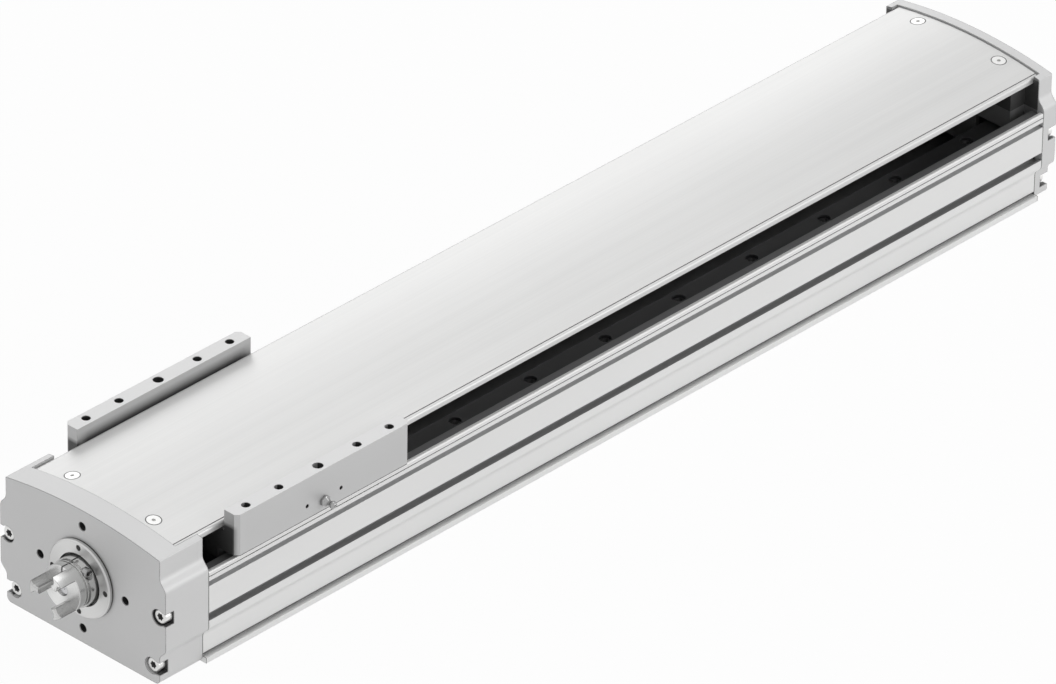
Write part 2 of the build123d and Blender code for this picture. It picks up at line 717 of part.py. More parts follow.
def block_screws():
    """Screws that hold the four runner blocks to the slide."""
    screws = []
    seat = PLATE_BOTTOM + BLOCK_SCREW_SEAT
    for side in SIDES:
        for mid in block_mids():
            for x, y in block_hole_places(side, mid):
                shank = upright(BLOCK_SCREW_R, x, y, PLATE_BOTTOM - BLOCK_SCREW_GRIP, seat)
                screws.append(shank + upright(BLOCK_SCREW_HEAD_R, x, y, seat, seat + BLOCK_SCREW_HEAD))
    return group(screws)


def slide_section():
    """Slide section: plate under the cover, necks out of the side openings, two rails."""
    neck_bottom = LIP_Z + NECK_LIP_GAP
    plate = block(PLATE_HALF, PLATE_BOTTOM, PLATE_TOP)
    neck = block(SLIDE_RAIL_OUT, neck_bottom, PLATE_TOP)
    middle = (SLIDE_RAIL_IN + SLIDE_RAIL_OUT) / 2
    height = SLIDE_TOP - neck_bottom
    rails = [Pos(side * middle, neck_bottom + height / 2) * Rectangle(SLIDE_RAIL_WIDTH, height)
             for side in SIDES]
    return one([plate, neck] + rails) - disc(NUT_FLANGE_R + NUT_ROOM)


def slide_top_holes():
    """Tapped holes and centring holes in the two rails of the slide."""
    cuts = []
    for side in SIDES:
        y = side * SLIDE_HOLE_Y
        for offset_x in (-SLIDE_HOLE_FAR, -SLIDE_HOLE_NEAR, SLIDE_HOLE_NEAR, SLIDE_HOLE_FAR):
            x = SLIDE_MID + offset_x
            cuts.append(upright(SLIDE_HOLE_R, x, y, SLIDE_TOP - SLIDE_HOLE_DEPTH, SLIDE_TOP))
        cuts.append(upright(SLIDE_PIN_R, SLIDE_MID, y, SLIDE_TOP - SLIDE_PIN_DEPTH, SLIDE_TOP))
    return cuts


def side_drill(radius, x, z, depth):
    """Hole drilled into the right outer face of the slide."""
    middle = -SLIDE_RAIL_OUT + depth / 2
    return Pos(along(x), middle, z) * Rot(90, 0, 0) * Cylinder(radius, depth)


def slide_side_holes():
    """Two small tapped holes and the seat of the grease nipple."""
    height = AXIS_HEIGHT + SIDE_HOLE_RISE
    cuts = [side_drill(SIDE_HOLE_R, SLIDE_MID + side * SIDE_HOLE_OFFSET, height, SIDE_HOLE_DEPTH)
            for side in SIDES]
    seat = NIPPLE_SEAT + SEAT_GAP
    cuts.append(side_drill(NIPPLE_R + SEAT_GAP, SLIDE_MID, AXIS_HEIGHT + NIPPLE_RISE, seat))
    return cuts


def slide_screw_holes():
    """Counterbored holes for the runner block screws and the nut bracket screws."""
    seat = PLATE_BOTTOM + BLOCK_SCREW_SEAT
    places = bracket_screw_places()
    for side in SIDES:
        for mid in block_mids():
            places += block_hole_places(side, mid)
    cuts = []
    for x, y in places:
        cuts.append(upright(BLOCK_SCREW_R + 2 * THREAD_GAP, x, y, PLATE_BOTTOM, seat))
        cuts.append(upright(BLOCK_SCREW_HEAD_R + 2 * THREAD_GAP, x, y, seat, PLATE_TOP))
    return cuts


def slide():
    """Slide: one machined piece with chamfered outer corners."""
    body = bar(slide_section(), SLIDE_START, SLIDE_START + SLIDE_LENGTH)
    corners = body.edges().filter_by(Axis.Z).group_by(Axis.Y)
    body = chamfer(corners[0] + corners[-1], SLIDE_CHAMFER)
    for cut in slide_top_holes() + slide_side_holes() + slide_screw_holes():
        body -= cut
    return body


def grease_nipple():
    """Grease nipple pressed into the right rail of the slide, pointing sideways."""
    face = -SLIDE_RAIL_OUT
    z = AXIS_HEIGHT + NIPPLE_RISE
    taper = NIPPLE_COLLAR + NIPPLE_COLLAR_R - NIPPLE_NECK_R
    outline = [(-NIPPLE_SEAT, 0), (-NIPPLE_SEAT, NIPPLE_R), (0, NIPPLE_R), (0, NIPPLE_COLLAR_R),
               (NIPPLE_COLLAR, NIPPLE_COLLAR_R), (taper, NIPPLE_NECK_R), (NIPPLE_NECK_END, NIPPLE_NECK_R),
               (NIPPLE_LENGTH - NIPPLE_BALL_R, NIPPLE_BALL_R),
               (NIPPLE_LENGTH - NIPPLE_BALL_R / 2, NIPPLE_BALL_R),
               (NIPPLE_LENGTH, NIPPLE_BALL_R / 2), (NIPPLE_LENGTH, 0)]
    points = [(along(SLIDE_MID) + radius, face - reach, z) for reach, radius in outline]
    return revolve(make_face(Polyline(*points, close=True)), Axis((along(SLIDE_MID), 0, z), (0, 1, 0)))


def bracket_screw_places():
    """Places of the two screws that hold the nut bracket."""
    return [((BRACKET_START + BRACKET_END) / 2, side * BRACKET_SCREW_Y) for side in SIDES]


def bracket_screws():
    """Two screws from the slide down into the nut bracket."""
    seat = PLATE_BOTTOM + BLOCK_SCREW_SEAT
    screws = []
    for x, y in bracket_screw_places():
        shank = upright(BLOCK_SCREW_R, x, y, PLATE_BOTTOM - BRACKET_SCREW_GRIP, seat)
        screws.append(shank + upright(BLOCK_SCREW_HEAD_R, x, y, seat, seat + BLOCK_SCREW_HEAD))
    return group(screws)


def nut_screw_places():
    """Places of the flange screws of the ball nut, as (y, z)."""
    return round_places(NUT_SCREW_CIRCLE_R, NUT_SCREWS, 180 / NUT_SCREWS)


def nut_bracket():
    """Bracket that carries the ball nut under the slide."""
    outline = block(BRACKET_HALF, AXIS_HEIGHT - BRACKET_DROP, PLATE_BOTTOM)
    body = bar(outline - disc(NUT_BODY_R + SEAT_GAP), BRACKET_START, BRACKET_END)
    for y, z in nut_screw_places():
        hole = disc(NUT_SCREW_R + THREAD_GAP, y, z)
        body -= bar(hole, BRACKET_START, BRACKET_START + NUT_SCREW_GRIP + THREAD_GAP)
    for x, y in bracket_screw_places():
        depth = BRACKET_SCREW_GRIP + THREAD_GAP
        body -= upright(BLOCK_SCREW_R + THREAD_GAP, x, y, PLATE_BOTTOM - depth, PLATE_BOTTOM)
    return body


def ball_nut():
    """Flanged ball nut with seal recesses at both ends."""
    face = BRACKET_START
    front = face - NUT_FLANGE - NUT_BOSS
    back = face + NUT_BODY_LENGTH
    bore = SCREW_R + SHAFT_GAP
    recess = NUT_SEAL_R + SEAT_GAP
    nut = turned([(front, recess), (front, NUT_BODY_R), (front + NUT_BOSS, NUT_BODY_R),
                  (front + NUT_BOSS, NUT_FLANGE_R), (face, NUT_FLANGE_R), (face, NUT_BODY_R),
                  (back, NUT_BODY_R), (back, recess), (back - NUT_SEAL, recess), (back - NUT_SEAL, bore),
                  (front + NUT_SEAL, bore), (front + NUT_SEAL, recess)])
    for y, z in nut_screw_places():
        nut -= bar(disc(NUT_SCREW_R + 2 * THREAD_GAP, y, z), face - NUT_FLANGE, face)
    return nut


def ball_nut_seals():
    """Wiper rings in the two ends of the ball nut."""
    starts = (BRACKET_START - NUT_FLANGE - NUT_BOSS, BRACKET_START + NUT_BODY_LENGTH - NUT_SEAL)
    ring = disc(NUT_SEAL_R) - disc(SCREW_R + SHAFT_GAP)
    return group([bar(ring, start, start + NUT_SEAL) for start in starts])


def ball_nut_screws():
    """Screws through the flange of the ball nut into its bracket."""
    seat = BRACKET_START - NUT_FLANGE
    return group([bar(disc(NUT_SCREW_HEAD_R, y, z), seat - NUT_SCREW_HEAD, seat)
                  + bar(disc(NUT_SCREW_R, y, z), seat, BRACKET_START + NUT_SCREW_GRIP)
                  for y, z in nut_screw_places()])


def spindle():
    """Ball screw shaft: coupling journal, nut thread, bearing seats and screw."""
    tip = SHAFT_SETBACK - HUB_FACE
    tail = FLOAT_END + CIRCLIP + SHAFT_TAIL
    journal = HUB_BORE_R - SEAT_GAP
    fixed = FIXED_BORE_R - SEAT_GAP
    floating = FLOAT_BORE_R - SEAT_GAP
    root = FLOAT_BORE_R - CIRCLIP_GROOVE
    return turned([
        (tip + SHAFT_CENTRE_R, 0), (tip, SHAFT_CENTRE_R), (tip, journal - HUB_CHAMFER),
        (tip + HUB_CHAMFER, journal), (HUB_REAR_END, journal), (HUB_REAR_END, SHAFT_NUT_BORE_R),
        (FIXED_START, SHAFT_NUT_BORE_R), (FIXED_START, fixed),
        (FIXED_END, fixed), (FIXED_END, SCREW_R), (FLOAT_START - SHAFT_GAP, SCREW_R),
        (FLOAT_START, FLOAT_BORE_R + SHAFT_STEP), (FLOAT_START, floating), (FLOAT_END, floating),
        (FLOAT_END, root), (FLOAT_END + CIRCLIP, root), (FLOAT_END + CIRCLIP, floating),
        (tail, floating), (tail, 0),
    ])


def race_rings(start, width, bore_r, outer_r, ball_r):
    """Inner and outer ring of a ball bearing, with the ball track between them."""
    pitch = (bore_r + outer_r) / 2
    land = ball_r * TRACK_SHARE
    track = Pos(along(start + width / 2), 0, AXIS_HEIGHT)
    inner = bar(disc(pitch - land) - disc(bore_r), start, start + width)
    outer = bar(disc(outer_r) - disc(pitch + land), start, start + width)
    inner -= track * Rot(0, 90, 0) * Torus(pitch, ball_r + SHAFT_GAP)
    outer -= track * Rot(0, 90, 0) * Torus(pitch, ball_r + SEAT_GAP)
    return inner, outer


def race_balls(start, width, bore_r, outer_r, ball_r, count):
    """Ring of balls between the two rings of a bearing."""
    middle = along(start + width / 2)
    places = round_places((bore_r + outer_r) / 2, count)
    return [Pos(middle, y, z) * Sphere(ball_r) for y, z in places]


def fixed_bearing():
    """Bearing pair of the drive end: inner rings, outer rings and balls."""
    inner_rings, outer_rings, balls = [], [], []
    for row in range(FIXED_ROWS):
        sizes = (FIXED_START + FIXED_WIDTH * row, FIXED_WIDTH, FIXED_BORE_R, FIXED_OUTER_R, FIXED_BALL_R)
        inner, outer = race_rings(*sizes)
        inner_rings.append(inner)
        outer_rings.append(outer)
        balls += race_balls(*sizes, FIXED_BALLS)
    return group(inner_rings), group(outer_rings), group(balls)


def floating_bearing():
    """Single bearing of the idle end."""
    sizes = (FLOAT_START, FLOAT_WIDTH, FLOAT_BORE_R, FLOAT_OUTER_R, FLOAT_BALL_R)
    inner, outer = race_rings(*sizes)
    return inner, outer, group(race_balls(*sizes, FLOAT_BALLS))


def bearing_lock_ring():
    """Threaded ring that clamps the bearing pair, with four pin spanner holes."""
    ring = turned([(-RING_FLANGE, RING_BORE_R), (-RING_FLANGE, RING_R - RING_CHAMFER),
                   (RING_CHAMFER - RING_FLANGE, RING_R), (0, RING_R), (0, RING_NECK_R),
                   (RING_NECK, RING_NECK_R), (RING_NECK, RING_LAND_R), (RING_NECK - RING_LAND, RING_LAND_R),
                   (RING_NECK - RING_LAND, RING_BORE_R)])
    for y, z in round_places(RING_HOLE_CIRCLE_R, QUARTERS):
        ring -= bar(disc(RING_HOLE_R, y, z), -RING_FLANGE, RING_HOLE_DEPTH - RING_FLANGE)
    return ring


def shaft_nut():
    """Slotted nut that clamps the inner rings on the shaft."""
    outline = disc(SHAFT_NUT_R) - disc(SHAFT_NUT_BORE_R + SEAT_GAP)
    slot = Pos(0, SHAFT_NUT_R) * Rectangle(SHAFT_NUT_SLOT, 2 * SHAFT_NUT_SLOT_DEPTH)
    for turn in range(QUARTERS):
        outline -= Pos(0, AXIS_HEIGHT) * Rot(0, 0, 360 / QUARTERS * turn) * slot
    return bar(outline, FIXED_START - SHAFT_NUT, FIXED_START)


def idle_circlip():
    """Open retaining ring behind the floating bearing."""
    ring = disc(CIRCLIP_R) - disc(FLOAT_BORE_R - CIRCLIP_GROOVE + SEAT_GAP)
    ring -= Pos(0, AXIS_HEIGHT - CIRCLIP_R) * Rectangle(FLOAT_BORE_R, FLOAT_BORE_R)
    return bar(ring, FLOAT_END, FLOAT_END + CIRCLIP)


def claw():
    """One coupling claw on the +Y side, hollowed for the spider arms, with chamfered flanks at its tip."""
    wedge = disc(HUB_FRONT_R) - disc(CLAW_INNER_R)
    wedge &= Pos(HUB_FRONT_R / 2, AXIS_HEIGHT) * Rectangle(HUB_FRONT_R, 2 * CLAW_HALF_WIDTH)
    for side in SIDES:
        wedge -= disc(SPIDER_ARM_R, SPIDER_ARM_X, AXIS_HEIGHT + side * SPIDER_ARM_Y)
    solid = bar(wedge, -HUB_FACE - CLAW_LENGTH, -HUB_FACE + HUB_CHAMFER)
    tip = solid.faces().sort_by(Axis.X)[0]
    flanks = [edge for edge in tip.edges() if abs(edge.center().Z - AXIS_HEIGHT) > CLAW_CHAMFER]
    return chamfer(flanks, CLAW_CHAMFER)


def hub_body():
    """Turned clamping hub with two grooves between its front and rear parts."""
    groove_front = HUB_FRONT_R - HUB_GROOVE_DEPTH
    rib = (HUB_GROOVE_START + HUB_GROOVE_END) / 2
    rib_half = (HUB_GROOVE_START - HUB_GROOVE_END) / 6
    return turned([
        (-HUB_FACE, HUB_BORE_R), (-HUB_FACE, HUB_FRONT_R - HUB_CHAMFER),
        (HUB_CHAMFER - HUB_FACE, HUB_FRONT_R), (-HUB_GROOVE_START, HUB_FRONT_R),
        (-HUB_GROOVE_START, groove_front), (-rib - rib_half, groove_front),
        (-rib - rib_half, HUB_FRONT_R), (-rib + rib_half, HUB_FRONT_R), (-rib + rib_half, groove_front),
        (-HUB_GROOVE_END, groove_front), (-HUB_GROOVE_END, HUB_REAR_R), (HUB_REAR_END, HUB_REAR_R),
        (HUB_REAR_END, HUB_BORE_R),
    ])


def clamp_axis(radius, low, high):
    """Cylinder along Y on the axis of the hub's clamp screw."""
    place = Pos(along(CLAMP_SCREW_X), (low + high) / 2, AXIS_HEIGHT + CLAMP_SCREW_RISE)
    return place * Rot(90, 0, 0) * Cylinder(radius, high - low)


def coupling_hub():
    """Clamping coupling hub with three claws, a slit and the clamp screw's hole."""
    hub = hub_body()
    for turn in range(CLAWS):
        angle = CLAW_FIRST_ANGLE + 360 / CLAWS * turn
        hub += claw().rotate(SHAFT, angle)
    slit = Pos(0, AXIS_HEIGHT + HUB_REAR_R / 2) * Rectangle(SLIT, HUB_REAR_R + SLIT)
    hub -= bar(slit, -HUB_FACE, HUB_REAR_END)
    hub -= clamp_axis(CLAMP_SCREW_R + THREAD_GAP, -CLAMP_HEAD_SEAT, HUB_REAR_R)
    hub -= clamp_axis(CLAMP_HEAD_R + THREAD_GAP, -HUB_REAR_R - SLIT, -CLAMP_HEAD_SEAT)
    dimple = Pos(along(CLAMP_SCREW_X), 0, AXIS_HEIGHT + HUB_REAR_R) * Cylinder(DIMPLE_R, 2 * DIMPLE_DEPTH)
    for angle in DIMPLE_ANGLES:
        hub -= dimple.rotate(SHAFT, angle - 90)
    return hub


def coupling_clamp_screw():
    """Socket screw across the slit of the hub."""
    head = clamp_axis(CLAMP_HEAD_R, -CLAMP_HEAD_SEAT - CLAMP_HEAD_LENGTH, -CLAMP_HEAD_SEAT)
    shank = clamp_axis(CLAMP_SCREW_R, -CLAMP_HEAD_SEAT, CLAMP_HEAD_SEAT)
    return head + shank


def buffers(face_x, direction):
    """Two rubber buffers pinned to a face, pointing at the slide."""
    tip = face_x + direction * BUFFER_LENGTH
    pin = face_x - direction * (BUFFER_PIN - THREAD_GAP)
    z = AXIS_HEIGHT + BUFFER_RISE
    return group([bar(disc(BUFFER_R, side * BUFFER_Y, z), *sorted((face_x, tip)))
                  + bar(disc(BUFFER_PIN_R, side * BUFFER_Y, z), *sorted((face_x, pin))) for side in SIDES])


def all_parts():
    """Every node of the axis by name."""
    fixed_inner, fixed_outer, fixed_balls = fixed_bearing()
    float_inner, float_outer, float_balls = floating_bearing()
    parts = {
        "profile": profile(),
        "drive_end_cap": drive_end_cap(),
        "idle_end_cap": idle_end_cap(),
        "top_cover": top_cover(),
        "cover_screws": cover_screws(),
        "drive_cap_screws": corner_screws(0, 1),
        "idle_cap_screws": corner_screws(LENGTH, -1),
        "bearing_lock_ring": bearing_lock_ring(),
        "fixed_bearing_inner_rings": fixed_inner,
        "fixed_bearing_outer_rings": fixed_outer,
        "fixed_bearing_balls": fixed_balls,
        "floating_bearing_inner_ring": float_inner,
        "floating_bearing_outer_ring": float_outer,
        "floating_bearing_balls": float_balls,
        "shaft_nut": shaft_nut(),
        "idle_circlip": idle_circlip(),
        "spindle": spindle(),
        "coupling_hub": coupling_hub(),
        "coupling_clamp_screw": coupling_clamp_screw(),
        "drive_end_buffers": buffers(DRIVE_CAP_LENGTH, 1),
        "idle_end_buffers": buffers(TONGUE_START, -1),
        "slide": slide(),
        "block_screws": block_screws(),
        "grease_nipple": grease_nipple(),
        "nut_bracket": nut_bracket(),
        "nut_bracket_screws": bracket_screws(),
        "ball_nut": ball_nut(),
        "ball_nut_seals": ball_nut_seals(),
        "ball_nut_screws": ball_nut_screws(),
    }
    for side, hand in zip(SIDES, ("right", "left")):
        parts["guide_rail_" + hand] = guide_rail(side)
        parts["guide_rail_screws_" + hand] = guide_rail_screws(side)
        for mid, end in zip(block_mids(), ("front", "rear")):
            parts["runner_block_" + end + "_" + hand] = runner_block(side, mid)
            parts["runner_end_caps_" + end + "_" + hand] = runner_end_caps(side, mid)
    return parts


def main():
    os.makedirs("parts", exist_ok=True)
    for name, shape in all_parts().items():
        export_step(shape, "parts/" + name + ".step")


if __name__ == "__main__":
    main()
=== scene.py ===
import json
import math

import bmesh
import bpy
from bpy.props import FloatProperty, FloatVectorProperty, IntProperty, PointerProperty
from mathutils import Matrix, Vector


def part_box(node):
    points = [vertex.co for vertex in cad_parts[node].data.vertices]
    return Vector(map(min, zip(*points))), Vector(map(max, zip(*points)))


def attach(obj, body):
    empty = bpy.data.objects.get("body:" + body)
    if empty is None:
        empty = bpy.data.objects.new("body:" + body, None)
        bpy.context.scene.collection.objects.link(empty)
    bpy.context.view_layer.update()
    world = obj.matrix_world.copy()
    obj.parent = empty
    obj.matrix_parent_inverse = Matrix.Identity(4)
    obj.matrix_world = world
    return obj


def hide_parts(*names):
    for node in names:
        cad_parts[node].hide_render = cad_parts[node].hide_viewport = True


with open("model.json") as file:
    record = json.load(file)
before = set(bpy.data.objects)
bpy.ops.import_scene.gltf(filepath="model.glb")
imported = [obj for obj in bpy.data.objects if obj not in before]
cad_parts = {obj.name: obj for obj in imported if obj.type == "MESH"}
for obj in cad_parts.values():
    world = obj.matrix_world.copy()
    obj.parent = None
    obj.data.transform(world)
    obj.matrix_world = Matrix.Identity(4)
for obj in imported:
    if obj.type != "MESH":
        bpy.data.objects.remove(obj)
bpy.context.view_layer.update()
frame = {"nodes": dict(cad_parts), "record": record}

bl_info = {
    "name": "Ball Screw Linear Axis",
    "version": (1, 0, 0),
    "blender": (4, 5, 0),
    "location": "3D View > Sidebar > Linear Axis",
    "description": "Dresses a ball screw linear axis: finishes, screw thread, fasteners and studio",
    "category": "Add Mesh",
}

MM = 0.001
SHAFT_HEIGHT = sum((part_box("spindle")[0].z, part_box("spindle")[1].z)) / 2
SHAFT_CENTRE = (0.0, 0.0, SHAFT_HEIGHT)

# Farther out than any surface of the part, in metres: the open side of a mask
FAR = 1.0

# Places in the cross section of the body that get painted shade, in metres: how far in from the side they
# start and end, and the heights between which they lie
INNER_ROOM = (FAR, 8.4 * MM, 8.0 * MM, FAR)
MAIN_SLOT = (7.0 * MM, 0.25 * MM, 26.0 * MM, 35.6 * MM)
SENSOR_SLOT = (5.0 * MM, 0.25 * MM, 49.9 * MM, 54.2 * MM)
LIP_LINE = (0.9 * MM, 0.25 * MM, 56.0 * MM, 57.0 * MM)
FOOT_GROOVE = (5.9 * MM, 4.8 * MM, 3.4 * MM, 5.3 * MM)
END_GAP = 0.4 * MM

# Painted shadow is laid in these places
# Hollow and two screw pockets of an end cap, in millimetres: distance from the middle plane, then height
CAP_HOLLOWS = ((-1.0, 46.0, 6.0, 79.0), (52.0, 63.1, 37.2, 48.2), (52.0, 58.4, 5.2, 15.8))

# Lengths of the fasteners made here, in metres
CORNER_HEAD = 5.0 * MM
CORNER_SHANK_R = 2.5 * MM
RAIL_HEAD = 4.0 * MM
RAIL_SHANK_R = 2.0 * MM
CLAMP_HEAD = 3.4 * MM
CLAMP_SHANK_R = 1.5 * MM
SCREW_LEAD = 0.35 * MM
SCREW_RIM = 0.25 * MM

# Radius of a socket as a share of the radius of its head, and of a socket's floor as a share of its mouth
STAR_SHARE = 0.5
HEXAGON_SHARE = 0.48
SOCKET_FLOOR = 0.62

# The ball groove: its width and its run-in as shares of the pitch, and the sides of its rings
GROOVE_WIDTH = 0.62
GROOVE_RUN_IN = 0.6
GROOVE_SIDES = 28

# Soft lights: name, place and size of the square, in metres
SOFTBOXES = (("key", (1.2, -2.7, 0.9), 2.2), ("top", (0.8, 0.4, 2.5), 2.0), ("back", (1.8, 2.3, 1.0), 1.6))

# The floor: half its width and how far it lies under the part, in metres, and its tone
FLOOR_REACH = 30.0
FLOOR_DROP = 0.0002
FLOOR_TONE = 0.92

# Edges: how soon the turn of a rounded edge counts in full, and the rays that find it. Marks: their
# height in metres, and how far the roughness swings with them on metal and on moulded pieces.
EDGE_GAIN = 3.5
EDGE_RAYS = 6
BUMP_REACH = 0.00004
METAL_SWING = 0.06
MOULDED_SWING = 0.08

# Finishes made so far, by name
finishes = {}

# The reference view, as a pinhole camera in the frame of the part
CAMERA_PLACE = (-4.000194, -3.750725, 3.484492)
CAMERA_RIGHT = (0.69120612, -0.72253079, 0.01354084)
CAMERA_UP = (0.37713726, 0.3766437, 0.84611288)
CAMERA_LENS = 396.53
SENSOR_WIDTH = 36.0


class AxisColours(bpy.types.PropertyGroup):
    """Colours of the finishes and of painted shade."""
    body: FloatVectorProperty(name="Body", description="Anodised body", subtype="COLOR",
                              default=(0.84, 0.84, 0.835), min=0, max=1)
    cap: FloatVectorProperty(name="End caps", description="Anodised end caps", subtype="COLOR",
                             default=(0.70, 0.70, 0.70), min=0, max=1)
    cover: FloatVectorProperty(name="Cover", description="Brushed cover", subtype="COLOR",
                               default=(0.70, 0.70, 0.695), min=0, max=1)
    slide: FloatVectorProperty(name="Slide", description="Milled slide", subtype="COLOR",
                               default=(0.61, 0.61, 0.61), min=0, max=1)
    hub: FloatVectorProperty(name="Hub", description="Turned coupling hub", subtype="COLOR",
                             default=(0.66, 0.66, 0.655), min=0, max=1)
    ring: FloatVectorProperty(name="Lock ring", description="Turned lock ring", subtype="COLOR",
                              default=(0.60, 0.60, 0.595), min=0, max=1)
    zinc: FloatVectorProperty(name="Screws", description="Bright screws", subtype="COLOR",
                              default=(0.88, 0.88, 0.87), min=0, max=1)
    chrome: FloatVectorProperty(name="Nipple", description="Plated grease nipple", subtype="COLOR",
                                default=(0.36, 0.36, 0.36), min=0, max=1)
    steel: FloatVectorProperty(name="Ground steel", description="Ball screw and bearings", subtype="COLOR",
                               default=(0.55, 0.55, 0.56), min=0, max=1)
    coated: FloatVectorProperty(name="Coated steel", description="Guide rails and runner blocks",
                                subtype="COLOR", default=(0.10, 0.10, 0.103), min=0, max=1)
    # Painted shade: laid on the inner walls of the body and the end caps, and on the slide under the cover
    inside: FloatVectorProperty(name="Inside", description="Walls in the dark of the body", subtype="COLOR",
                                default=(0.23, 0.23, 0.233), min=0, max=1)
    slot: FloatVectorProperty(name="Slots", description="Shaded walls of the side slots", subtype="COLOR",
                              default=(0.42, 0.42, 0.423), min=0, max=1)
    # Painted shadow: laid in gaps, grooves, seams, hollows, holes and screw sockets, and on shaded faces of
    # the rails
    gap: FloatVectorProperty(name="Gaps", description="Shadow lines in narrow gaps", subtype="COLOR",
                             default=(0.08, 0.08, 0.08), min=0, max=1)
    rubber: FloatVectorProperty(name="Rubber", description="Buffers", subtype="COLOR",
                                default=(0.020, 0.020, 0.021), min=0, max=1)
    plastic: FloatVectorProperty(name="Plastic", description="Return caps and wipers", subtype="COLOR",
                                 default=(0.030, 0.030, 0.031), min=0, max=1)


class AxisSizes(bpy.types.PropertyGroup):
    """Sizes of what is modelled here, in metres."""
    thread_pitch: FloatProperty(name="Screw pitch", description="Travel for one turn of the ball screw",
                                default=0.010, unit="LENGTH", min=0.001)
    thread_depth: FloatProperty(name="Groove depth", description="Depth of the ball groove",
                                default=0.0011, unit="LENGTH", min=0)
    thread_steps: IntProperty(name="Groove steps", description="Rings for one turn of the groove",
                              default=14, min=6)
    socket_depth: FloatProperty(name="Socket depth", description="Depth of the drive in a screw head",
                                default=0.0022, unit="LENGTH", min=0)
    head_chamfer: FloatProperty(name="Head chamfer", description="Chamfer round a screw head",
                                default=0.00045, unit="LENGTH", min=0)
    edge_round: FloatProperty(name="Edge rounding", description="Radius that machined edges shade to",
                              default=0.00035, unit="LENGTH", min=0)


class AxisStudio(bpy.types.PropertyGroup):
    """Studio settings."""
    key: FloatProperty(name="Key light", description="Power of the large softbox", default=24.0,
                       unit="POWER", min=0)
    top: FloatProperty(name="Top light", description="Power of the overhead softbox", default=11.0,
                       unit="POWER", min=0)
    back: FloatProperty(name="Back light", description="Power of the softbox behind", default=8.0,
                        unit="POWER", min=0)
    ambient: FloatProperty(name="Ambient", description="Level of the soft light from all round",
                           default=0.42, min=0)
    floor_mix: FloatProperty(name="Floor white", description="Share of plain white in the floor",
                             default=0.96, min=0, max=1, subtype="FACTOR")


# Shared shader node groups


def new_group(name, inputs, outputs):
    """A shader node group with named float, vector or colour sockets."""
    tree = bpy.data.node_groups.new(name, "ShaderNodeTree")
    for socket, kind, value in inputs:
        made = tree.interface.new_socket(socket, in_out="INPUT", socket_type=kind)
        if value is not None:
            made.default_value = value
    for socket, kind in outputs:
        tree.interface.new_socket(socket, in_out="OUTPUT", socket_type=kind)
    return tree, tree.nodes.new("NodeGroupInput"), tree.nodes.new("NodeGroupOutput")


def math_node(tree, operation, first, second=None, clamp=False):
    """A Math node fed by sockets or numbers; returns its output."""
    node = tree.nodes.new("ShaderNodeMath")
    node.operation = operation
    node.use_clamp = clamp
    for place, value in enumerate((first, second)):
        if value is None:
            continue
        if isinstance(value, (int, float)):
            node.inputs[place].default_value = value
        else:
            tree.links.new(value, node.inputs[place])
    return node.outputs[0]


def noise_node(tree, vector, scale, detail, roughness=0.5):
    """Noise texture read at a vector."""
    node = tree.nodes.new("ShaderNodeTexNoise")
    node.inputs["Scale"].default_value = scale
    node.inputs["Detail"].default_value = detail
    node.inputs["Roughness"].default_value = roughness
    tree.links.new(vector, node.inputs["Vector"])
    return node.outputs[0]


def streak_group():
    """Fine straight marks along X, with slow changes of tone along and across them."""
    inputs = [("Vector", "NodeSocketVector", None), ("Along", "NodeSocketFloat", 12.0),
              ("Across", "NodeSocketFloat", 2600.0)]
    tree, given, result = new_group("brushed_marks", inputs,
                                    [("Marks", "NodeSocketFloat"), ("Cloud", "NodeSocketFloat")])
    stretch = tree.nodes.new("ShaderNodeCombineXYZ")
    tree.links.new(given.outputs["Along"], stretch.inputs["X"])
    tree.links.new(given.outputs["Across"], stretch.inputs["Y"])
    tree.links.new(given.outputs["Across"], stretch.inputs["Z"])
    scaled = tree.nodes.new("ShaderNodeVectorMath")
    scaled.operation = "MULTIPLY"
    tree.links.new(given.outputs["Vector"], scaled.inputs[0])
    tree.links.new(stretch.outputs[0], scaled.inputs[1])
    fine = noise_node(tree, scaled.outputs[0], 1.0, 3.0, 0.6)
    wide = noise_node(tree, scaled.outputs[0], 0.13, 2.0)
    cloud = noise_node(tree, given.outputs["Vector"], 9.0, 2.0)
    marks = math_node(tree, "ADD", math_node(tree, "MULTIPLY", fine, 0.6),
                      math_node(tree, "MULTIPLY", wide, 0.4))
    tree.links.new(marks, result.inputs["Marks"])
    tree.links.new(cloud, result.inputs["Cloud"])
    return tree


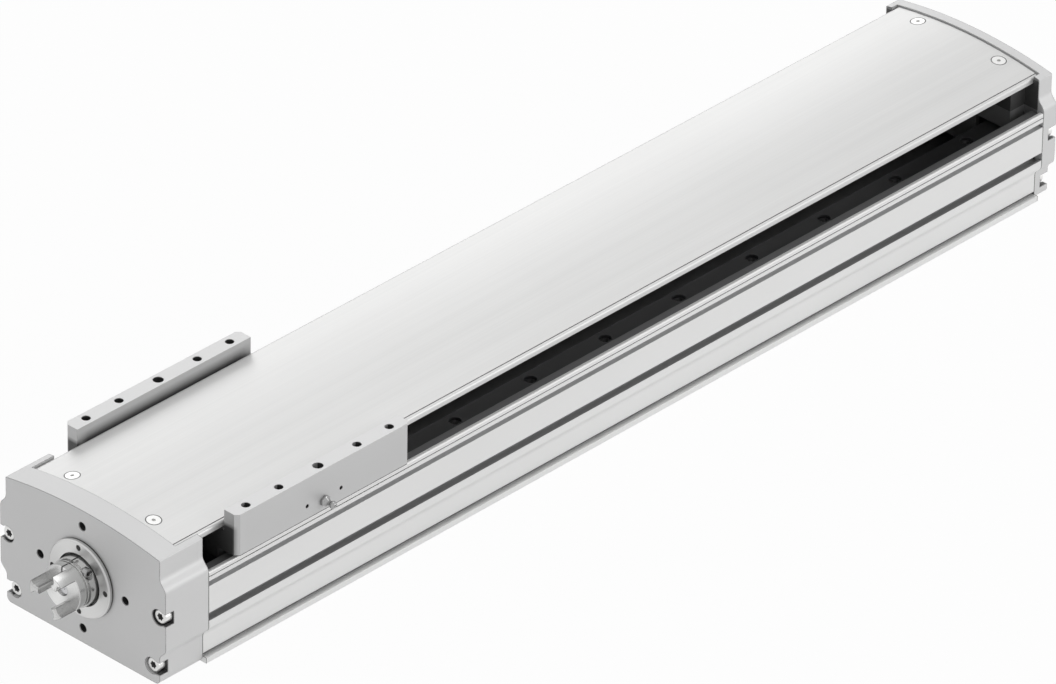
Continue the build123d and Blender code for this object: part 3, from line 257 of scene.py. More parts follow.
def turned_group():
    """Fine rings round the shaft axis, as left by a lathe, and a painted fan of highlight round the axis.
    """
    inputs = [("Vector", "NodeSocketVector", None), ("Pitch", "NodeSocketFloat", 3200.0),
              ("Fan angle", "NodeSocketFloat", 1.0)]
    tree, given, result = new_group("turned_marks", inputs,
                                    [("Marks", "NodeSocketFloat"), ("Cloud", "NodeSocketFloat")])
    centred = tree.nodes.new("ShaderNodeVectorMath")
    centred.operation = "SUBTRACT"
    centred.inputs[1].default_value = SHAFT_CENTRE
    tree.links.new(given.outputs["Vector"], centred.inputs[0])
    parts = tree.nodes.new("ShaderNodeSeparateXYZ")
    tree.links.new(centred.outputs[0], parts.inputs[0])
    squares = [math_node(tree, "POWER", parts.outputs[axis], 2.0) for axis in ("Y", "Z")]
    radius = math_node(tree, "SQRT", math_node(tree, "ADD", *squares))
    place = tree.nodes.new("ShaderNodeCombineXYZ")
    for axis, value in (("X", parts.outputs["X"]), ("Y", radius)):
        tree.links.new(math_node(tree, "MULTIPLY", value, given.outputs["Pitch"]), place.inputs[axis])
    tree.links.new(noise_node(tree, place.outputs[0], 1.0, 2.0), result.inputs["Marks"])
    # Painted highlight: a fan that is lightest at the fan angle and opposite it, and darkest between
    angle = math_node(tree, "ARCTAN2", parts.outputs["Z"], parts.outputs["Y"])
    turned = math_node(tree, "SUBTRACT", angle, given.outputs["Fan angle"])
    wave = math_node(tree, "COSINE", math_node(tree, "MULTIPLY", turned, 2.0))
    tree.links.new(ranged(tree, wave, 0.0, 1.0, -1.0), result.inputs["Cloud"])
    return tree


def blast_group():
    """Fine even grain of a blasted or moulded surface."""
    inputs = [("Vector", "NodeSocketVector", None), ("Grain", "NodeSocketFloat", 2400.0)]
    tree, given, result = new_group("matt_grain", inputs,
                                    [("Marks", "NodeSocketFloat"), ("Cloud", "NodeSocketFloat")])
    scaled = tree.nodes.new("ShaderNodeVectorMath")
    scaled.operation = "SCALE"
    tree.links.new(given.outputs["Vector"], scaled.inputs[0])
    tree.links.new(given.outputs["Grain"], scaled.inputs["Scale"])
    tree.links.new(noise_node(tree, scaled.outputs[0], 1.0, 4.0, 0.65), result.inputs["Marks"])
    tree.links.new(noise_node(tree, given.outputs["Vector"], 22.0, 3.0), result.inputs["Cloud"])
    return tree


def edge_group():
    """Rounded shading of machined edges, their mask for edge wear and painted edge shade, and the bump of
    the marks.
    """
    inputs = [("Radius", "NodeSocketFloat", 0.00035), ("Height", "NodeSocketFloat", 0.5),
              ("Depth", "NodeSocketFloat", 0.1)]
    tree, given, result = new_group("worn_edges", inputs,
                                    [("Normal", "NodeSocketVector"), ("Edge", "NodeSocketFloat")])
    bevel = tree.nodes.new("ShaderNodeBevel")
    bevel.samples = EDGE_RAYS
    tree.links.new(given.outputs["Radius"], bevel.inputs["Radius"])
    geometry = tree.nodes.new("ShaderNodeNewGeometry")
    dot = tree.nodes.new("ShaderNodeVectorMath")
    dot.operation = "DOT_PRODUCT"
    tree.links.new(bevel.outputs[0], dot.inputs[0])
    tree.links.new(geometry.outputs["Normal"], dot.inputs[1])
    bent = math_node(tree, "SUBTRACT", 1.0, dot.outputs["Value"])
    edge = math_node(tree, "MULTIPLY", bent, EDGE_GAIN, clamp=True)
    bump = tree.nodes.new("ShaderNodeBump")
    bump.inputs["Distance"].default_value = BUMP_REACH
    tree.links.new(given.outputs["Depth"], bump.inputs["Strength"])
    tree.links.new(given.outputs["Height"], bump.inputs["Height"])
    tree.links.new(bevel.outputs[0], bump.inputs["Normal"])
    tree.links.new(bump.outputs[0], result.inputs["Normal"])
    tree.links.new(edge, result.inputs["Edge"])
    return tree


def box_group():
    """Mask of what lies inside a box that is the same on both sides of the middle plane."""
    inputs = [("Vector", "NodeSocketVector", None), ("Low", "NodeSocketVector", None),
              ("High", "NodeSocketVector", None), ("Soft", "NodeSocketFloat", 0.00002)]
    tree, given, result = new_group("box_mask", inputs, [("Mask", "NodeSocketFloat")])
    both = tree.nodes.new("ShaderNodeVectorMath")
    both.operation = "ABSOLUTE"
    tree.links.new(given.outputs["Vector"], both.inputs[0])
    place, mirrored, low, high = [tree.nodes.new("ShaderNodeSeparateXYZ") for _ in range(4)]
    for source, target in ((given.outputs["Vector"], place), (both.outputs[0], mirrored),
                           (given.outputs["Low"], low), (given.outputs["High"], high)):
        tree.links.new(source, target.inputs[0])
    mask = None
    for axis, source in (("X", place), ("Y", mirrored), ("Z", place)):
        value = source.outputs[axis]
        above = math_node(tree, "DIVIDE", math_node(tree, "SUBTRACT", value, low.outputs[axis]),
                          given.outputs["Soft"], clamp=True)
        below = math_node(tree, "DIVIDE", math_node(tree, "SUBTRACT", high.outputs[axis], value),
                          given.outputs["Soft"], clamp=True)
        within = math_node(tree, "MULTIPLY", above, below)
        mask = within if mask is None else math_node(tree, "MULTIPLY", mask, within)
    tree.links.new(mask, result.inputs["Mask"])
    return tree


def ring_group():
    """Mask of thin rings round four screws, set out evenly about two middle planes."""
    inputs = [("Vector", "NodeSocketVector", None), ("Middle", "NodeSocketFloat", 0.0),
              ("Reach X", "NodeSocketFloat", 0.0), ("Reach Y", "NodeSocketFloat", 0.0),
              ("Radius", "NodeSocketFloat", 0.004), ("Width", "NodeSocketFloat", 0.0004)]
    tree, given, result = new_group("ring_mask", inputs, [("Mask", "NodeSocketFloat")])
    place = tree.nodes.new("ShaderNodeSeparateXYZ")
    tree.links.new(given.outputs["Vector"], place.inputs[0])
    shifted = math_node(tree, "SUBTRACT", place.outputs["X"], given.outputs["Middle"])
    squares = []
    for value, reach in ((shifted, "Reach X"), (place.outputs["Y"], "Reach Y")):
        away = math_node(tree, "SUBTRACT", math_node(tree, "ABSOLUTE", value), given.outputs[reach])
        squares.append(math_node(tree, "MULTIPLY", away, away))
    radius = math_node(tree, "SQRT", math_node(tree, "ADD", *squares))
    off = math_node(tree, "ABSOLUTE", math_node(tree, "SUBTRACT", radius, given.outputs["Radius"]))
    half = math_node(tree, "MULTIPLY", given.outputs["Width"], 0.5)
    tree.links.new(math_node(tree, "LESS_THAN", off, half), result.inputs["Mask"])
    return tree


def group_named(name):
    """A shared node group, made the first time it is asked for."""
    makers = {"brushed_marks": streak_group, "turned_marks": turned_group, "matt_grain": blast_group,
              "worn_edges": edge_group, "box_mask": box_group, "ring_mask": ring_group}
    return bpy.data.node_groups.get(name) or makers[name]()


def add_group(tree, name, **values):
    """A node of a shared group with its own values."""
    node = tree.nodes.new("ShaderNodeGroup")
    node.node_tree = group_named(name)
    for socket, value in values.items():
        node.inputs[socket].default_value = value
    return node


def mix_colour(tree, factor, first, second):
    """Mix of two colours, each a socket or a colour, by a factor socket."""
    node = tree.nodes.new("ShaderNodeMix")
    node.data_type = "RGBA"
    tree.links.new(factor, node.inputs["Factor"])
    for socket, value in ((node.inputs[6], first), (node.inputs[7], second)):
        if isinstance(value, bpy.types.NodeSocket):
            tree.links.new(value, socket)
        else:
            socket.default_value = (*value, 1.0)
    return node.outputs[2]


def shaded(colour, factor):
    """A colour made lighter or darker."""
    return tuple(min(1.0, channel * factor) for channel in colour)


def ranged(tree, value, low, high, start=0.0):
    """A value between a start and 1 spread between two numbers."""
    node = tree.nodes.new("ShaderNodeMapRange")
    node.inputs["From Min"].default_value = start
    node.inputs["To Min"].default_value = low
    node.inputs["To Max"].default_value = high
    tree.links.new(value, node.inputs["Value"])
    return node.outputs[0]


def metal(name, colour, marks, metallic, roughness, contrast=0.06, depth=0.12, edge=0.25, cloud=0.03,
          radius=None, edge_tone=1.25, **spread):
    """A metal finish: tone and gloss follow the tool marks; edge_tone above 1 wears edges lighter, below 1
    paints shade on them.
    """
    material = bpy.data.materials.new("finish_" + name)
    material.use_nodes = True
    tree = material.node_tree
    shader = tree.nodes["Principled BSDF"]
    finish = add_group(tree, marks, **spread)
    link_place(tree, finish)
    # Slow tone: random cloud, and from turned marks a painted fan of highlight as strong as cloud says
    tone, slow = [mix_colour(tree, finish.outputs[output], shaded(colour, 1 - swing),
                             shaded(colour, 1 + swing))
                  for output, swing in (("Marks", contrast), ("Cloud", 2 * cloud))]
    blend = tree.nodes.new("ShaderNodeMix")
    blend.data_type = "RGBA"
    blend.inputs["Factor"].default_value = 0.5
    tree.links.new(tone, blend.inputs[6])
    tree.links.new(slow, blend.inputs[7])
    rounding = bpy.context.scene.linear_axis_sizes.edge_round if radius is None else radius
    edges = add_group(tree, "worn_edges", Radius=rounding, Depth=depth)
    tree.links.new(finish.outputs["Marks"], edges.inputs["Height"])
    # Edge tone: lighter wear where edge_tone is above 1, painted shade along the edges where it is below 1
    share = math_node(tree, "MULTIPLY", edges.outputs["Edge"], edge)
    edge_wear_and_shade = mix_colour(tree, share, blend.outputs[2], shaded(colour, edge_tone))
    tree.links.new(edge_wear_and_shade, shader.inputs["Base Color"])
    gloss = ranged(tree, finish.outputs["Marks"], roughness - METAL_SWING, roughness + METAL_SWING)
    tree.links.new(gloss, shader.inputs["Roughness"])
    tree.links.new(edges.outputs["Normal"], shader.inputs["Normal"])
    shader.inputs["Metallic"].default_value = metallic
    return material


def link_place(tree, node):
    """Feed a group node with the place on the object."""
    place = tree.nodes.new("ShaderNodeTexCoord")
    tree.links.new(place.outputs["Object"], node.inputs["Vector"])


def shade(material, colour, group, **limits):
    """Lay another tone, as painted light and shade, over the part of a material that a mask picks out."""
    tree = material.node_tree
    shader = tree.nodes["Principled BSDF"]
    outer = shader.inputs["Base Color"].links[0].from_socket
    mask = add_group(tree, group, **limits)
    link_place(tree, mask)
    tree.links.new(mix_colour(tree, mask.outputs["Mask"], outer, colour), shader.inputs["Base Color"])


def shade_box(material, colour, low, high, **soft):
    """Lay another tone, as painted light and shade, over what lies inside a box, on both sides of the
    middle plane.
    """
    shade(material, colour, "box_mask", Low=low, High=high, **soft)


def shade_body(material, colours):
    """Painted shade on the inside of the body, in its side slots and on the thin gaps at its ends."""
    low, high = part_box("profile")
    ledge = (FAR, 2.2 * MM, high.z - 4.0 * MM, high.z - 1.2 * MM)
    for colour, (deep, shallow, bottom, top) in (
            (colours.inside, INNER_ROOM), (colours.inside, ledge), (colours.slot, MAIN_SLOT),
            (shaded(colours.slot, 1.5), SENSOR_SLOT), (shaded(colours.slot, 0.5), LIP_LINE),
            (colours.gap, FOOT_GROOVE)):
        shade_box(material, colour, (low.x, high.y - deep, bottom), (high.x, high.y - shallow, top))
    for start, stop in ((low.x, low.x + END_GAP), (high.x - END_GAP, high.x)):
        shade_box(material, colours.gap, (start, -FAR, -FAR), (stop, FAR, FAR))


def shade_caps(material, colours):
    """Painted shade on the inner faces of the end caps, and painted shadow over the room at the idle end
    and in the pockets of the screws.
    """
    low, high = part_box("profile")
    shade_box(material, colours.inside, (low.x - 0.3 * MM, -FAR, 3.0 * MM),
              (high.x + 0.3 * MM, high.y - 5.0 * MM, FAR))
    shade_box(material, colours.gap, (high.x - 13.0 * MM, -FAR, high.z),
              (high.x + 6.0 * MM, high.y - 4.8 * MM, high.z + 19.0 * MM))
    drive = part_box("drive_end_cap")[0].x
    idle_low, idle_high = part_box("idle_end_cap")
    spans = ((drive + 0.5 * MM, drive + 25 * MM), (idle_low.x + 3.0 * MM, idle_high.x - 0.5 * MM))
    for start, stop in spans:
        for inner, outer, bottom, top in CAP_HOLLOWS:
            shade_box(material, colours.gap, (start, inner * MM, bottom * MM), (stop, outer * MM, top * MM))


def shade_slide(material, colours):
    """Painted light on the slide's top, painted shade on its parts under the cover and painted shadows on
    its rails.
    """
    low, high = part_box("slide")
    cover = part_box("top_cover")[1].y
    bottom = min(vertex.co.z for vertex in frame["nodes"]["slide"].data.vertices
                 if abs(vertex.co.y) > high.y - 0.1 * MM)
    # Painted light: the top face gets a lighter copy of the slide's colour, as where the lamps fall on it
    shade_box(material, shaded(colours.slide, 1.22), (low.x, -FAR, high.z - 0.06 * MM), (high.x, FAR, FAR))
    # Painted shade under the cover
    shade_box(material, colours.inside, (low.x - 1.0 * MM, -FAR, -FAR),
              (high.x + 1.0 * MM, cover + 1.5 * MM, high.z - 18.0 * MM))
    # Painted shadow on the end faces of the rails, towards the drive end cap
    shade_box(material, colours.gap, (low.x - 9.0 * MM, -FAR, -FAR),
              (low.x + 3.3 * MM, high.y - 0.5 * MM, high.z - 7.0 * MM), Soft=3.0 * MM)
    # Painted shadow on the faces of the rails that look at the cover, fading out over a soft edge
    shade_box(material, colours.gap, (low.x - 1.0 * MM, -FAR, -FAR),
              (high.x + 1.0 * MM, high.y + 0.2 * MM, high.z - 3.0 * MM), Soft=9.0 * MM)
    # Painted shadow line along the lower edge of the rails
    shade_box(material, colours.gap, (low.x, high.y - 3.0 * MM, bottom - 0.5 * MM),
              (high.x, high.y + 0.5 * MM, bottom + 0.45 * MM))
    # Painted shadow on the walls of the holes
    shade_box(material, colours.gap, (low.x + 3.5 * MM, cover + 4.5 * MM, high.z - 30.0 * MM),
              (high.x - 2.0 * MM, high.y - 0.4 * MM, high.z - 0.4 * MM))


def shade_ring(material, colours):
    """Shadow line where the lock ring stands on the drive face."""
    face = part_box("drive_end_cap")[0].x
    shade_box(material, colours.gap, (face - 0.9 * MM, -FAR, -FAR), (face, FAR, FAR))


def shade_cover(material, colours):
    """Shadow lines along the cover's rounded edges and round its screws."""
    low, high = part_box("top_cover")
    seam = high.y - 1.9 * MM
    shade_box(material, colours.gap, (low.x, seam - 0.15 * MM, -FAR), (high.x, seam + 0.12 * MM, FAR))
    first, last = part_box("cover_screws")
    head = screw_head_radius()
    shade(material, colours.gap, "ring_mask", **{
        "Middle": (first.x + last.x) / 2, "Reach X": (last.x - first.x) / 2 - head,
        "Reach Y": (last.y - first.y) / 2 - head, "Radius": head + 0.3 * MM, "Width": 0.5 * MM})


def screw_head_radius():
    """Radius of a cover screw's head, from the length of the group's first screw."""
    low, high = islands("cover_screws")[0]
    return (high.x - low.x) / 2


def rubber_like(name, colour, roughness, grain):
    """Moulded rubber or plastic with a fine grain."""
    material = bpy.data.materials.new("finish_" + name)
    material.use_nodes = True
    tree = material.node_tree
    shader = tree.nodes["Principled BSDF"]
    finish = add_group(tree, "matt_grain", Grain=grain)
    link_place(tree, finish)
    tone = mix_colour(tree, finish.outputs["Cloud"], shaded(colour, 0.8), shaded(colour, 1.3))
    tree.links.new(tone, shader.inputs["Base Color"])
    gloss = ranged(tree, finish.outputs["Marks"], roughness - MOULDED_SWING, roughness + MOULDED_SWING)
    tree.links.new(gloss, shader.inputs["Roughness"])
    edges = add_group(tree, "worn_edges", Radius=0.0003, Depth=0.3)
    tree.links.new(finish.outputs["Marks"], edges.inputs["Height"])
    tree.links.new(edges.outputs["Normal"], shader.inputs["Normal"])
    return material


# Metals: colour, marks, metallic, roughness, contrast and depth of the marks, then what else metal() takes
# An edge_tone below 1 paints shade along the edges and one above 1 wears them lighter; with turned marks,
# cloud sets how strong the painted fan of highlight is
METALS = {
    "body_aluminium": ("body", "brushed_marks", 0.4, 0.42, 0.035, 0.08, {"Along": 10.0, "Across": 2200.0}),
    "cap_aluminium": ("cap", "matt_grain", 0.4, 0.5, 0.03, 0.1,
                      {"edge": 1.0, "edge_tone": 0.2, "radius": 0.0008, "Grain": 2600.0}),
    "cover_aluminium": ("cover", "brushed_marks", 0.5, 0.38, 0.18, 0.3, {"Along": 5.0, "Across": 1200.0}),
    "slide_aluminium": ("slide", "matt_grain", 0.4, 0.48, 0.03, 0.1,
                        {"edge": 0.5, "edge_tone": 0.6, "Grain": 2600.0}),
    "hub_aluminium": ("hub", "turned_marks", 0.85, 0.24, 0.10, 0.14,
                      {"edge": 1.0, "edge_tone": 0.15, "cloud": 0.18, "radius": 0.0005, "Pitch": 2600.0,
                       "Fan angle": math.radians(115)}),
    "ring_steel": ("ring", "turned_marks", 0.85, 0.3, 0.08, 0.14,
                   {"edge": 0.8, "edge_tone": 0.3, "cloud": 0.12, "Pitch": 2200.0,
                    "Fan angle": math.radians(65)}),
    "screw_steel": ("zinc", "matt_grain", 0.6, 0.3, 0.04, 0.08,
                    {"edge": 0.7, "edge_tone": 0.4, "radius": 0.00015, "Grain": 1800.0}),
    "chromed_steel": ("chrome", "matt_grain", 1.0, 0.16, 0.05, 0.06,
                      {"edge": 1.0, "edge_tone": 0.1, "radius": 0.0004, "Grain": 900.0}),
    "ground_steel": ("steel", "turned_marks", 0.95, 0.25, 0.05, 0.1,
                     {"radius": 0.0001, "Pitch": 3600.0, "Fan angle": 1.0}),
    "dark_steel": ("coated", "brushed_marks", 0.5, 0.4, 0.1, 0.1, {"Along": 20.0, "Across": 2400.0}),
    "shaded_recess": ("gap", "matt_grain", 0.3, 0.6, 0.1, 0.1, {"Grain": 1800.0}),
}

# Moulded finishes: colour, roughness and grain
MOULDED = {"black_plastic": ("plastic", 0.5, 2600.0), "black_rubber": ("rubber", 0.7, 2000.0)}

# Painted light and shade laid over a finish
SHADES = {"body_aluminium": shade_body, "cap_aluminium": shade_caps, "cover_aluminium": shade_cover,
          "slide_aluminium": shade_slide, "ring_steel": shade_ring}


def finish_of(name):
    """A finish by its name, made the first time it is asked for."""
    if name in finishes:
        return finishes[name]
    colours = bpy.context.scene.linear_axis_colours
    if name in METALS:
        colour, marks, *numbers, others = METALS[name]
        made = metal(name, getattr(colours, colour), marks, *numbers, **others)
    elif name in MOULDED:
        colour, roughness, grain = MOULDED[name]
        made = rubber_like(name, getattr(colours, colour), roughness, grain)
    else:
        raise RuntimeError("there is no finish named " + name)
    if name in SHADES:
        SHADES[name](made, colours)
    finishes[name] = made
    return made


def dress(*names):
    """Give CAD nodes the finish of their slot in the record."""
    slots = {part["node"]: part["material_slot"] for part in frame["record"]["subparts"]}
    for name in names:
        node = frame["nodes"][name]
        node.data.materials.clear()
        node.data.materials.append(finish_of(slots[name]))


# Mesh helpers


def islands(name):
    """Box of each separate solid of a CAD node, as (lowest corner, highest corner)."""
    mesh = frame["nodes"][name].data
    welded = {}
    leader = []
    for vertex in mesh.vertices:
        key = tuple(round(value, 6) for value in vertex.co)
        leader.append(welded.setdefault(key, vertex.index))
    root = list(range(len(mesh.vertices)))

    def top(index):
        while root[index] != index:
            root[index] = root[root[index]]
            index = root[index]
        return index

    for index, first in enumerate(leader):
        root[top(index)] = top(first)
    for edge in mesh.edges:
        root[top(edge.vertices[0])] = top(edge.vertices[1])
    boxes = {}
    for vertex in mesh.vertices:
        low, high = boxes.setdefault(top(vertex.index), (vertex.co.copy(), vertex.co.copy()))
        for axis in range(3):
            low[axis] = min(low[axis], vertex.co[axis])
            high[axis] = max(high[axis], vertex.co[axis])
    return sorted(boxes.values(), key=lambda box: tuple(round(value, 4) for value in box[0]))


def ring_stack(bm, rings, place, count=48, capped=True, recess=0):
    """Skin through rings of (radius or function of the angle, height) on a local Z axis.

    The first bands, as many as recess says, take the second material.
    """
    loops = []
    for radius, height in rings:
        loop = []
        for step in range(count):
            angle = 2 * math.pi * step / count
            reach = radius(angle) if callable(radius) else radius
            point = Vector((reach * math.cos(angle), reach * math.sin(angle), height))
            loop.append(bm.verts.new(place @ point))
        loops.append(loop)
    for band, (lower, upper) in enumerate(zip(loops, loops[1:])):
        for step in range(count):
            after = (step + 1) % count
            face = bm.faces.new((lower[step], lower[after], upper[after], upper[step]))
            face.material_index = int(band < recess)
    if not capped:
        return
    for loop, height in ((loops[0], rings[0][1]), (loops[-1], rings[-1][1])):
        centre = bm.verts.new(place @ Vector((0, 0, height)))
        for step in range(count):
            bm.faces.new((loop[step], loop[(step + 1) % count], centre))


def lobed(radius, lobes=6, depth=0.24):
    """Radius of a star socket at an angle."""
    return lambda angle: radius * (1 - depth * (0.5 - 0.5 * math.cos(lobes * angle)))


def hexagon(flat):
    """Radius of a hexagon with a given half width across flats."""
    def reach(angle):
        turn = (angle + math.pi / 6) % (math.pi / 3) - math.pi / 6
        return flat / math.cos(turn)
    return reach


def new_piece(name, bm, slot, body, replaced=(), sharp=35.0, finish=None, closed=True):
    """Make a smooth-shaded piece from a bmesh, with its finish, body and replaced nodes."""
    if closed:
        bmesh.ops.recalc_face_normals(bm, faces=bm.faces)
    mesh = bpy.data.meshes.new(name)
    bm.to_mesh(mesh)
    bm.free()
    for face in mesh.polygons:
        face.use_smooth = True
    mesh.set_sharp_from_angle(angle=math.radians(sharp))
    mesh.materials.append(finish_of(finish or slot))
    if any(face.material_index for face in mesh.polygons):
        mesh.materials.append(finish_of("shaded_recess"))
    piece = bpy.data.objects.new(name, mesh)
    bpy.context.scene.collection.objects.link(piece)
    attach(piece, body)
    if replaced:
        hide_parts(*replaced)
    return piece


def facing(point, direction):
    """Placement whose local Z points along a direction."""
    return Matrix.Translation(point) @ Vector(direction).to_track_quat("Z", "Y").to_matrix().to_4x4()


def cap_screw(bm, place, head_r, head, shank_r, shank, socket_r, socket):
    """Socket cap screw: its seat at local z = 0, the head above and the shank below."""
    sizes = bpy.context.scene.linear_axis_sizes
    chamfer = sizes.head_chamfer
    depth = min(sizes.socket_depth, head * 0.6)
    ring_stack(bm, [
        (socket(socket_r * SOCKET_FLOOR), head - depth), (socket(socket_r), head - SCREW_RIM),
        (socket(socket_r + 0.2 * MM), head), (head_r - chamfer, head), (head_r, head - chamfer),
        (head_r, SCREW_RIM), (head_r - SCREW_RIM, 0), (shank_r, 0), (shank_r, SCREW_LEAD - shank),
        (shank_r - SCREW_LEAD, -shank),
    ], place, recess=2)


# Operators


class AXIS_OT_body(bpy.types.Operator):
    """Finish the extruded body with fine brushed, anodised aluminium"""
    bl_idname = "linear_axis.body"
    bl_label = "Body"

    def execute(self, context):
        dress("profile")
        return {"FINISHED"}


class AXIS_OT_end_caps(bpy.types.Operator):
    """Finish both end caps with matt anodised aluminium"""
    bl_idname = "linear_axis.end_caps"
    bl_label = "End caps"

    def execute(self, context):
        dress("drive_end_cap", "idle_end_cap")
        return {"FINISHED"}


class AXIS_OT_cover(bpy.types.Operator):
    """Finish the crowned cover with marks brushed along its length"""
    bl_idname = "linear_axis.cover"
    bl_label = "Cover"

    def execute(self, context):
        dress("top_cover")
        return {"FINISHED"}


class AXIS_OT_cover_screws(bpy.types.Operator):
    """Finish the countersunk cover screws"""
    bl_idname = "linear_axis.cover_screws"
    bl_label = "Cover screws"

    def execute(self, context):
        dress("cover_screws")
        return {"FINISHED"}


def lengthwise_screws(name, node, outward):
    """Cap screws along X in place of a CAD node, their heads towards one end."""
    bm = bmesh.new()
    for low, high in islands(node):
        head_r = (high.y - low.y) / 2
        face_x = low.x if outward < 0 else high.x
        seat = (face_x - outward * CORNER_HEAD, (low.y + high.y) / 2, (low.z + high.z) / 2)
        cap_screw(bm, facing(seat, (outward, 0, 0)), head_r, CORNER_HEAD, CORNER_SHANK_R,
                  high.x - low.x - CORNER_HEAD, head_r * STAR_SHARE, lobed)
    return new_piece(name, bm, "screw_steel", "frame", (node,))


class AXIS_OT_corner_screws(bpy.types.Operator):
    """Make the corner screws of both end caps with star sockets"""
    bl_idname = "linear_axis.corner_screws"
    bl_label = "Corner screws"

    def execute(self, context):
        lengthwise_screws("drive_corner_screws", "drive_cap_screws", -1)
        lengthwise_screws("idle_corner_screws", "idle_cap_screws", 1)
        return {"FINISHED"}


class AXIS_OT_guide_rails(bpy.types.Operator):
    """Finish the guide rails and make their socket screws"""
    bl_idname = "linear_axis.guide_rails"
    bl_label = "Guide rails"

    def execute(self, context):
        for hand in ("left", "right"):
            node = "guide_rail_screws_" + hand
            dress("guide_rail_" + hand)
            bm = bmesh.new()
            for low, high in islands(node):
                seat = Vector(((low.x + high.x) / 2, (low.y + high.y) / 2, high.z - RAIL_HEAD))
                head_r = (high.x - low.x) / 2
                cap_screw(bm, facing(seat, (0, 0, 1)), head_r, RAIL_HEAD, RAIL_SHANK_R, seat.z - low.z,
                          head_r * HEXAGON_SHARE, hexagon)
            new_piece("rail_socket_screws_" + hand, bm, "dark_steel", "frame", (node,))
        return {"FINISHED"}


class AXIS_OT_slide(bpy.types.Operator):
    """Finish the slide, its nut bracket and its screws"""
    bl_idname = "linear_axis.slide"
    bl_label = "Slide"

    def execute(self, context):
        dress("slide", "nut_bracket", "block_screws", "nut_bracket_screws", "ball_nut", "ball_nut_screws",
              "ball_nut_seals")
        return {"FINISHED"}


class AXIS_OT_runners(bpy.types.Operator):
    """Finish the four runner blocks and their return caps"""
    bl_idname = "linear_axis.runners"
    bl_label = "Runner blocks"

    def execute(self, context):
        dress(*[name for name in frame["nodes"] if name.startswith(("runner_block", "runner_end_caps"))])
        return {"FINISHED"}


class AXIS_OT_grease_nipple(bpy.types.Operator):
    """Make the grease nipple with a hexagon collar and a ball head"""
    bl_idname = "linear_axis.grease_nipple"
    bl_label = "Grease nipple"

    def execute(self, context):
        low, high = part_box("grease_nipple")
        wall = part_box("slide")[0].y
        centre = Vector(((low.x + high.x) / 2, wall, (low.z + high.z) / 2))
        reach = wall - low.y
        collar = (high.x - low.x) / 2 * math.cos(math.pi / 6)
        bm = bmesh.new()
        ring_stack(bm, [
            (2.4 * MM, wall - high.y), (2.4 * MM, 0), (hexagon(collar * 0.94), 0),
            (hexagon(collar), 0.2 * MM), (hexagon(collar), 1.5 * MM), (hexagon(collar * 0.9), 1.8 * MM),
            (2.3 * MM, 2.1 * MM), (1.75 * MM, reach * 0.40), (1.45 * MM, reach * 0.52),
            (1.45 * MM, reach * 0.60), (2.05 * MM, reach * 0.68), (2.3 * MM, reach * 0.77),
            (2.15 * MM, reach * 0.86), (1.5 * MM, reach * 0.96), (0.9 * MM, reach),
            (0.5 * MM, reach * 0.98), (0.4 * MM, reach * 0.94),
        ], facing(centre, (0, -1, 0)))
        new_piece("grease_fitting", bm, "screw_steel", "carriage", ("grease_nipple",),
                  finish="chromed_steel")
        return {"FINISHED"}


class AXIS_OT_ball_screw(bpy.types.Operator):
    """Cut the helical ball groove into the spindle"""
    bl_idname = "linear_axis.ball_screw"
    bl_label = "Ball screw"

    def execute(self, context):
        sizes = context.scene.linear_axis_sizes
        bm = bmesh.new()
        bm.from_mesh(frame["nodes"]["spindle"].data)
        reach = {vertex: math.hypot(vertex.co.y, vertex.co.z - SHAFT_HEIGHT) for vertex in bm.verts}
        outer = max(reach.values())
        plain = [face for face in bm.faces
                 if min(reach[vertex] for vertex in face.verts) > outer - 0.02 * MM]
        if not plain:
            raise RuntimeError("the spindle has no plain length to cut the groove into")
        places = [vertex.co.x for face in plain for vertex in face.verts]
        start, end = min(places), max(places)
        bmesh.ops.delete(bm, geom=plain, context="FACES")
        run_in = sizes.thread_pitch * GROOVE_RUN_IN
        count = int((end - start) / sizes.thread_pitch * sizes.thread_steps)
        rings = []
        for step in range(count + 1):
            x = start + (end - start) * step / count
            fade = min(1.0, (x - start) / run_in, (end - x) / run_in)
            rings.append((groove(outer, sizes.thread_depth * fade, x, sizes.thread_pitch), x))
        ring_stack(bm, rings, facing((0, 0, SHAFT_HEIGHT), (1, 0, 0)), count=GROOVE_SIDES, capped=False)
        new_piece("threaded_spindle", bm, "ground_steel", "screw", ("spindle",), sharp=50.0, closed=False)
        return {"FINISHED"}


def groove(outer, depth, x, pitch):
    """Radius of a right-handed ball groove at a distance along the screw."""
    def reach(angle):
        phase = (x / pitch + angle / (2 * math.pi)) % 1.0
        across = (phase - 0.5) * 2 / GROOVE_WIDTH
        if abs(across) >= 1:
            return outer
        return outer - depth * math.sqrt(1 - across * across)
    return reach


class AXIS_OT_coupling(bpy.types.Operator):
    """Finish the coupling hub and the lock ring, and make the clamp screw"""
    bl_idname = "linear_axis.coupling"
    bl_label = "Coupling"

    def execute(self, context):
        dress("coupling_hub", "bearing_lock_ring", "shaft_nut")
        low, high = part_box("coupling_clamp_screw")
        seat = Vector(((low.x + high.x) / 2, low.y + CLAMP_HEAD, (low.z + high.z) / 2))
        head_r = (high.x - low.x) / 2
        bm = bmesh.new()
        cap_screw(bm, facing(seat, (0, -1, 0)), head_r, CLAMP_HEAD, CLAMP_SHANK_R, high.y - seat.y,
                  head_r * STAR_SHARE, lobed)
        new_piece("hub_clamp_screw", bm, "screw_steel", "screw", ("coupling_clamp_screw",),
                  finish="chromed_steel")
        return {"FINISHED"}


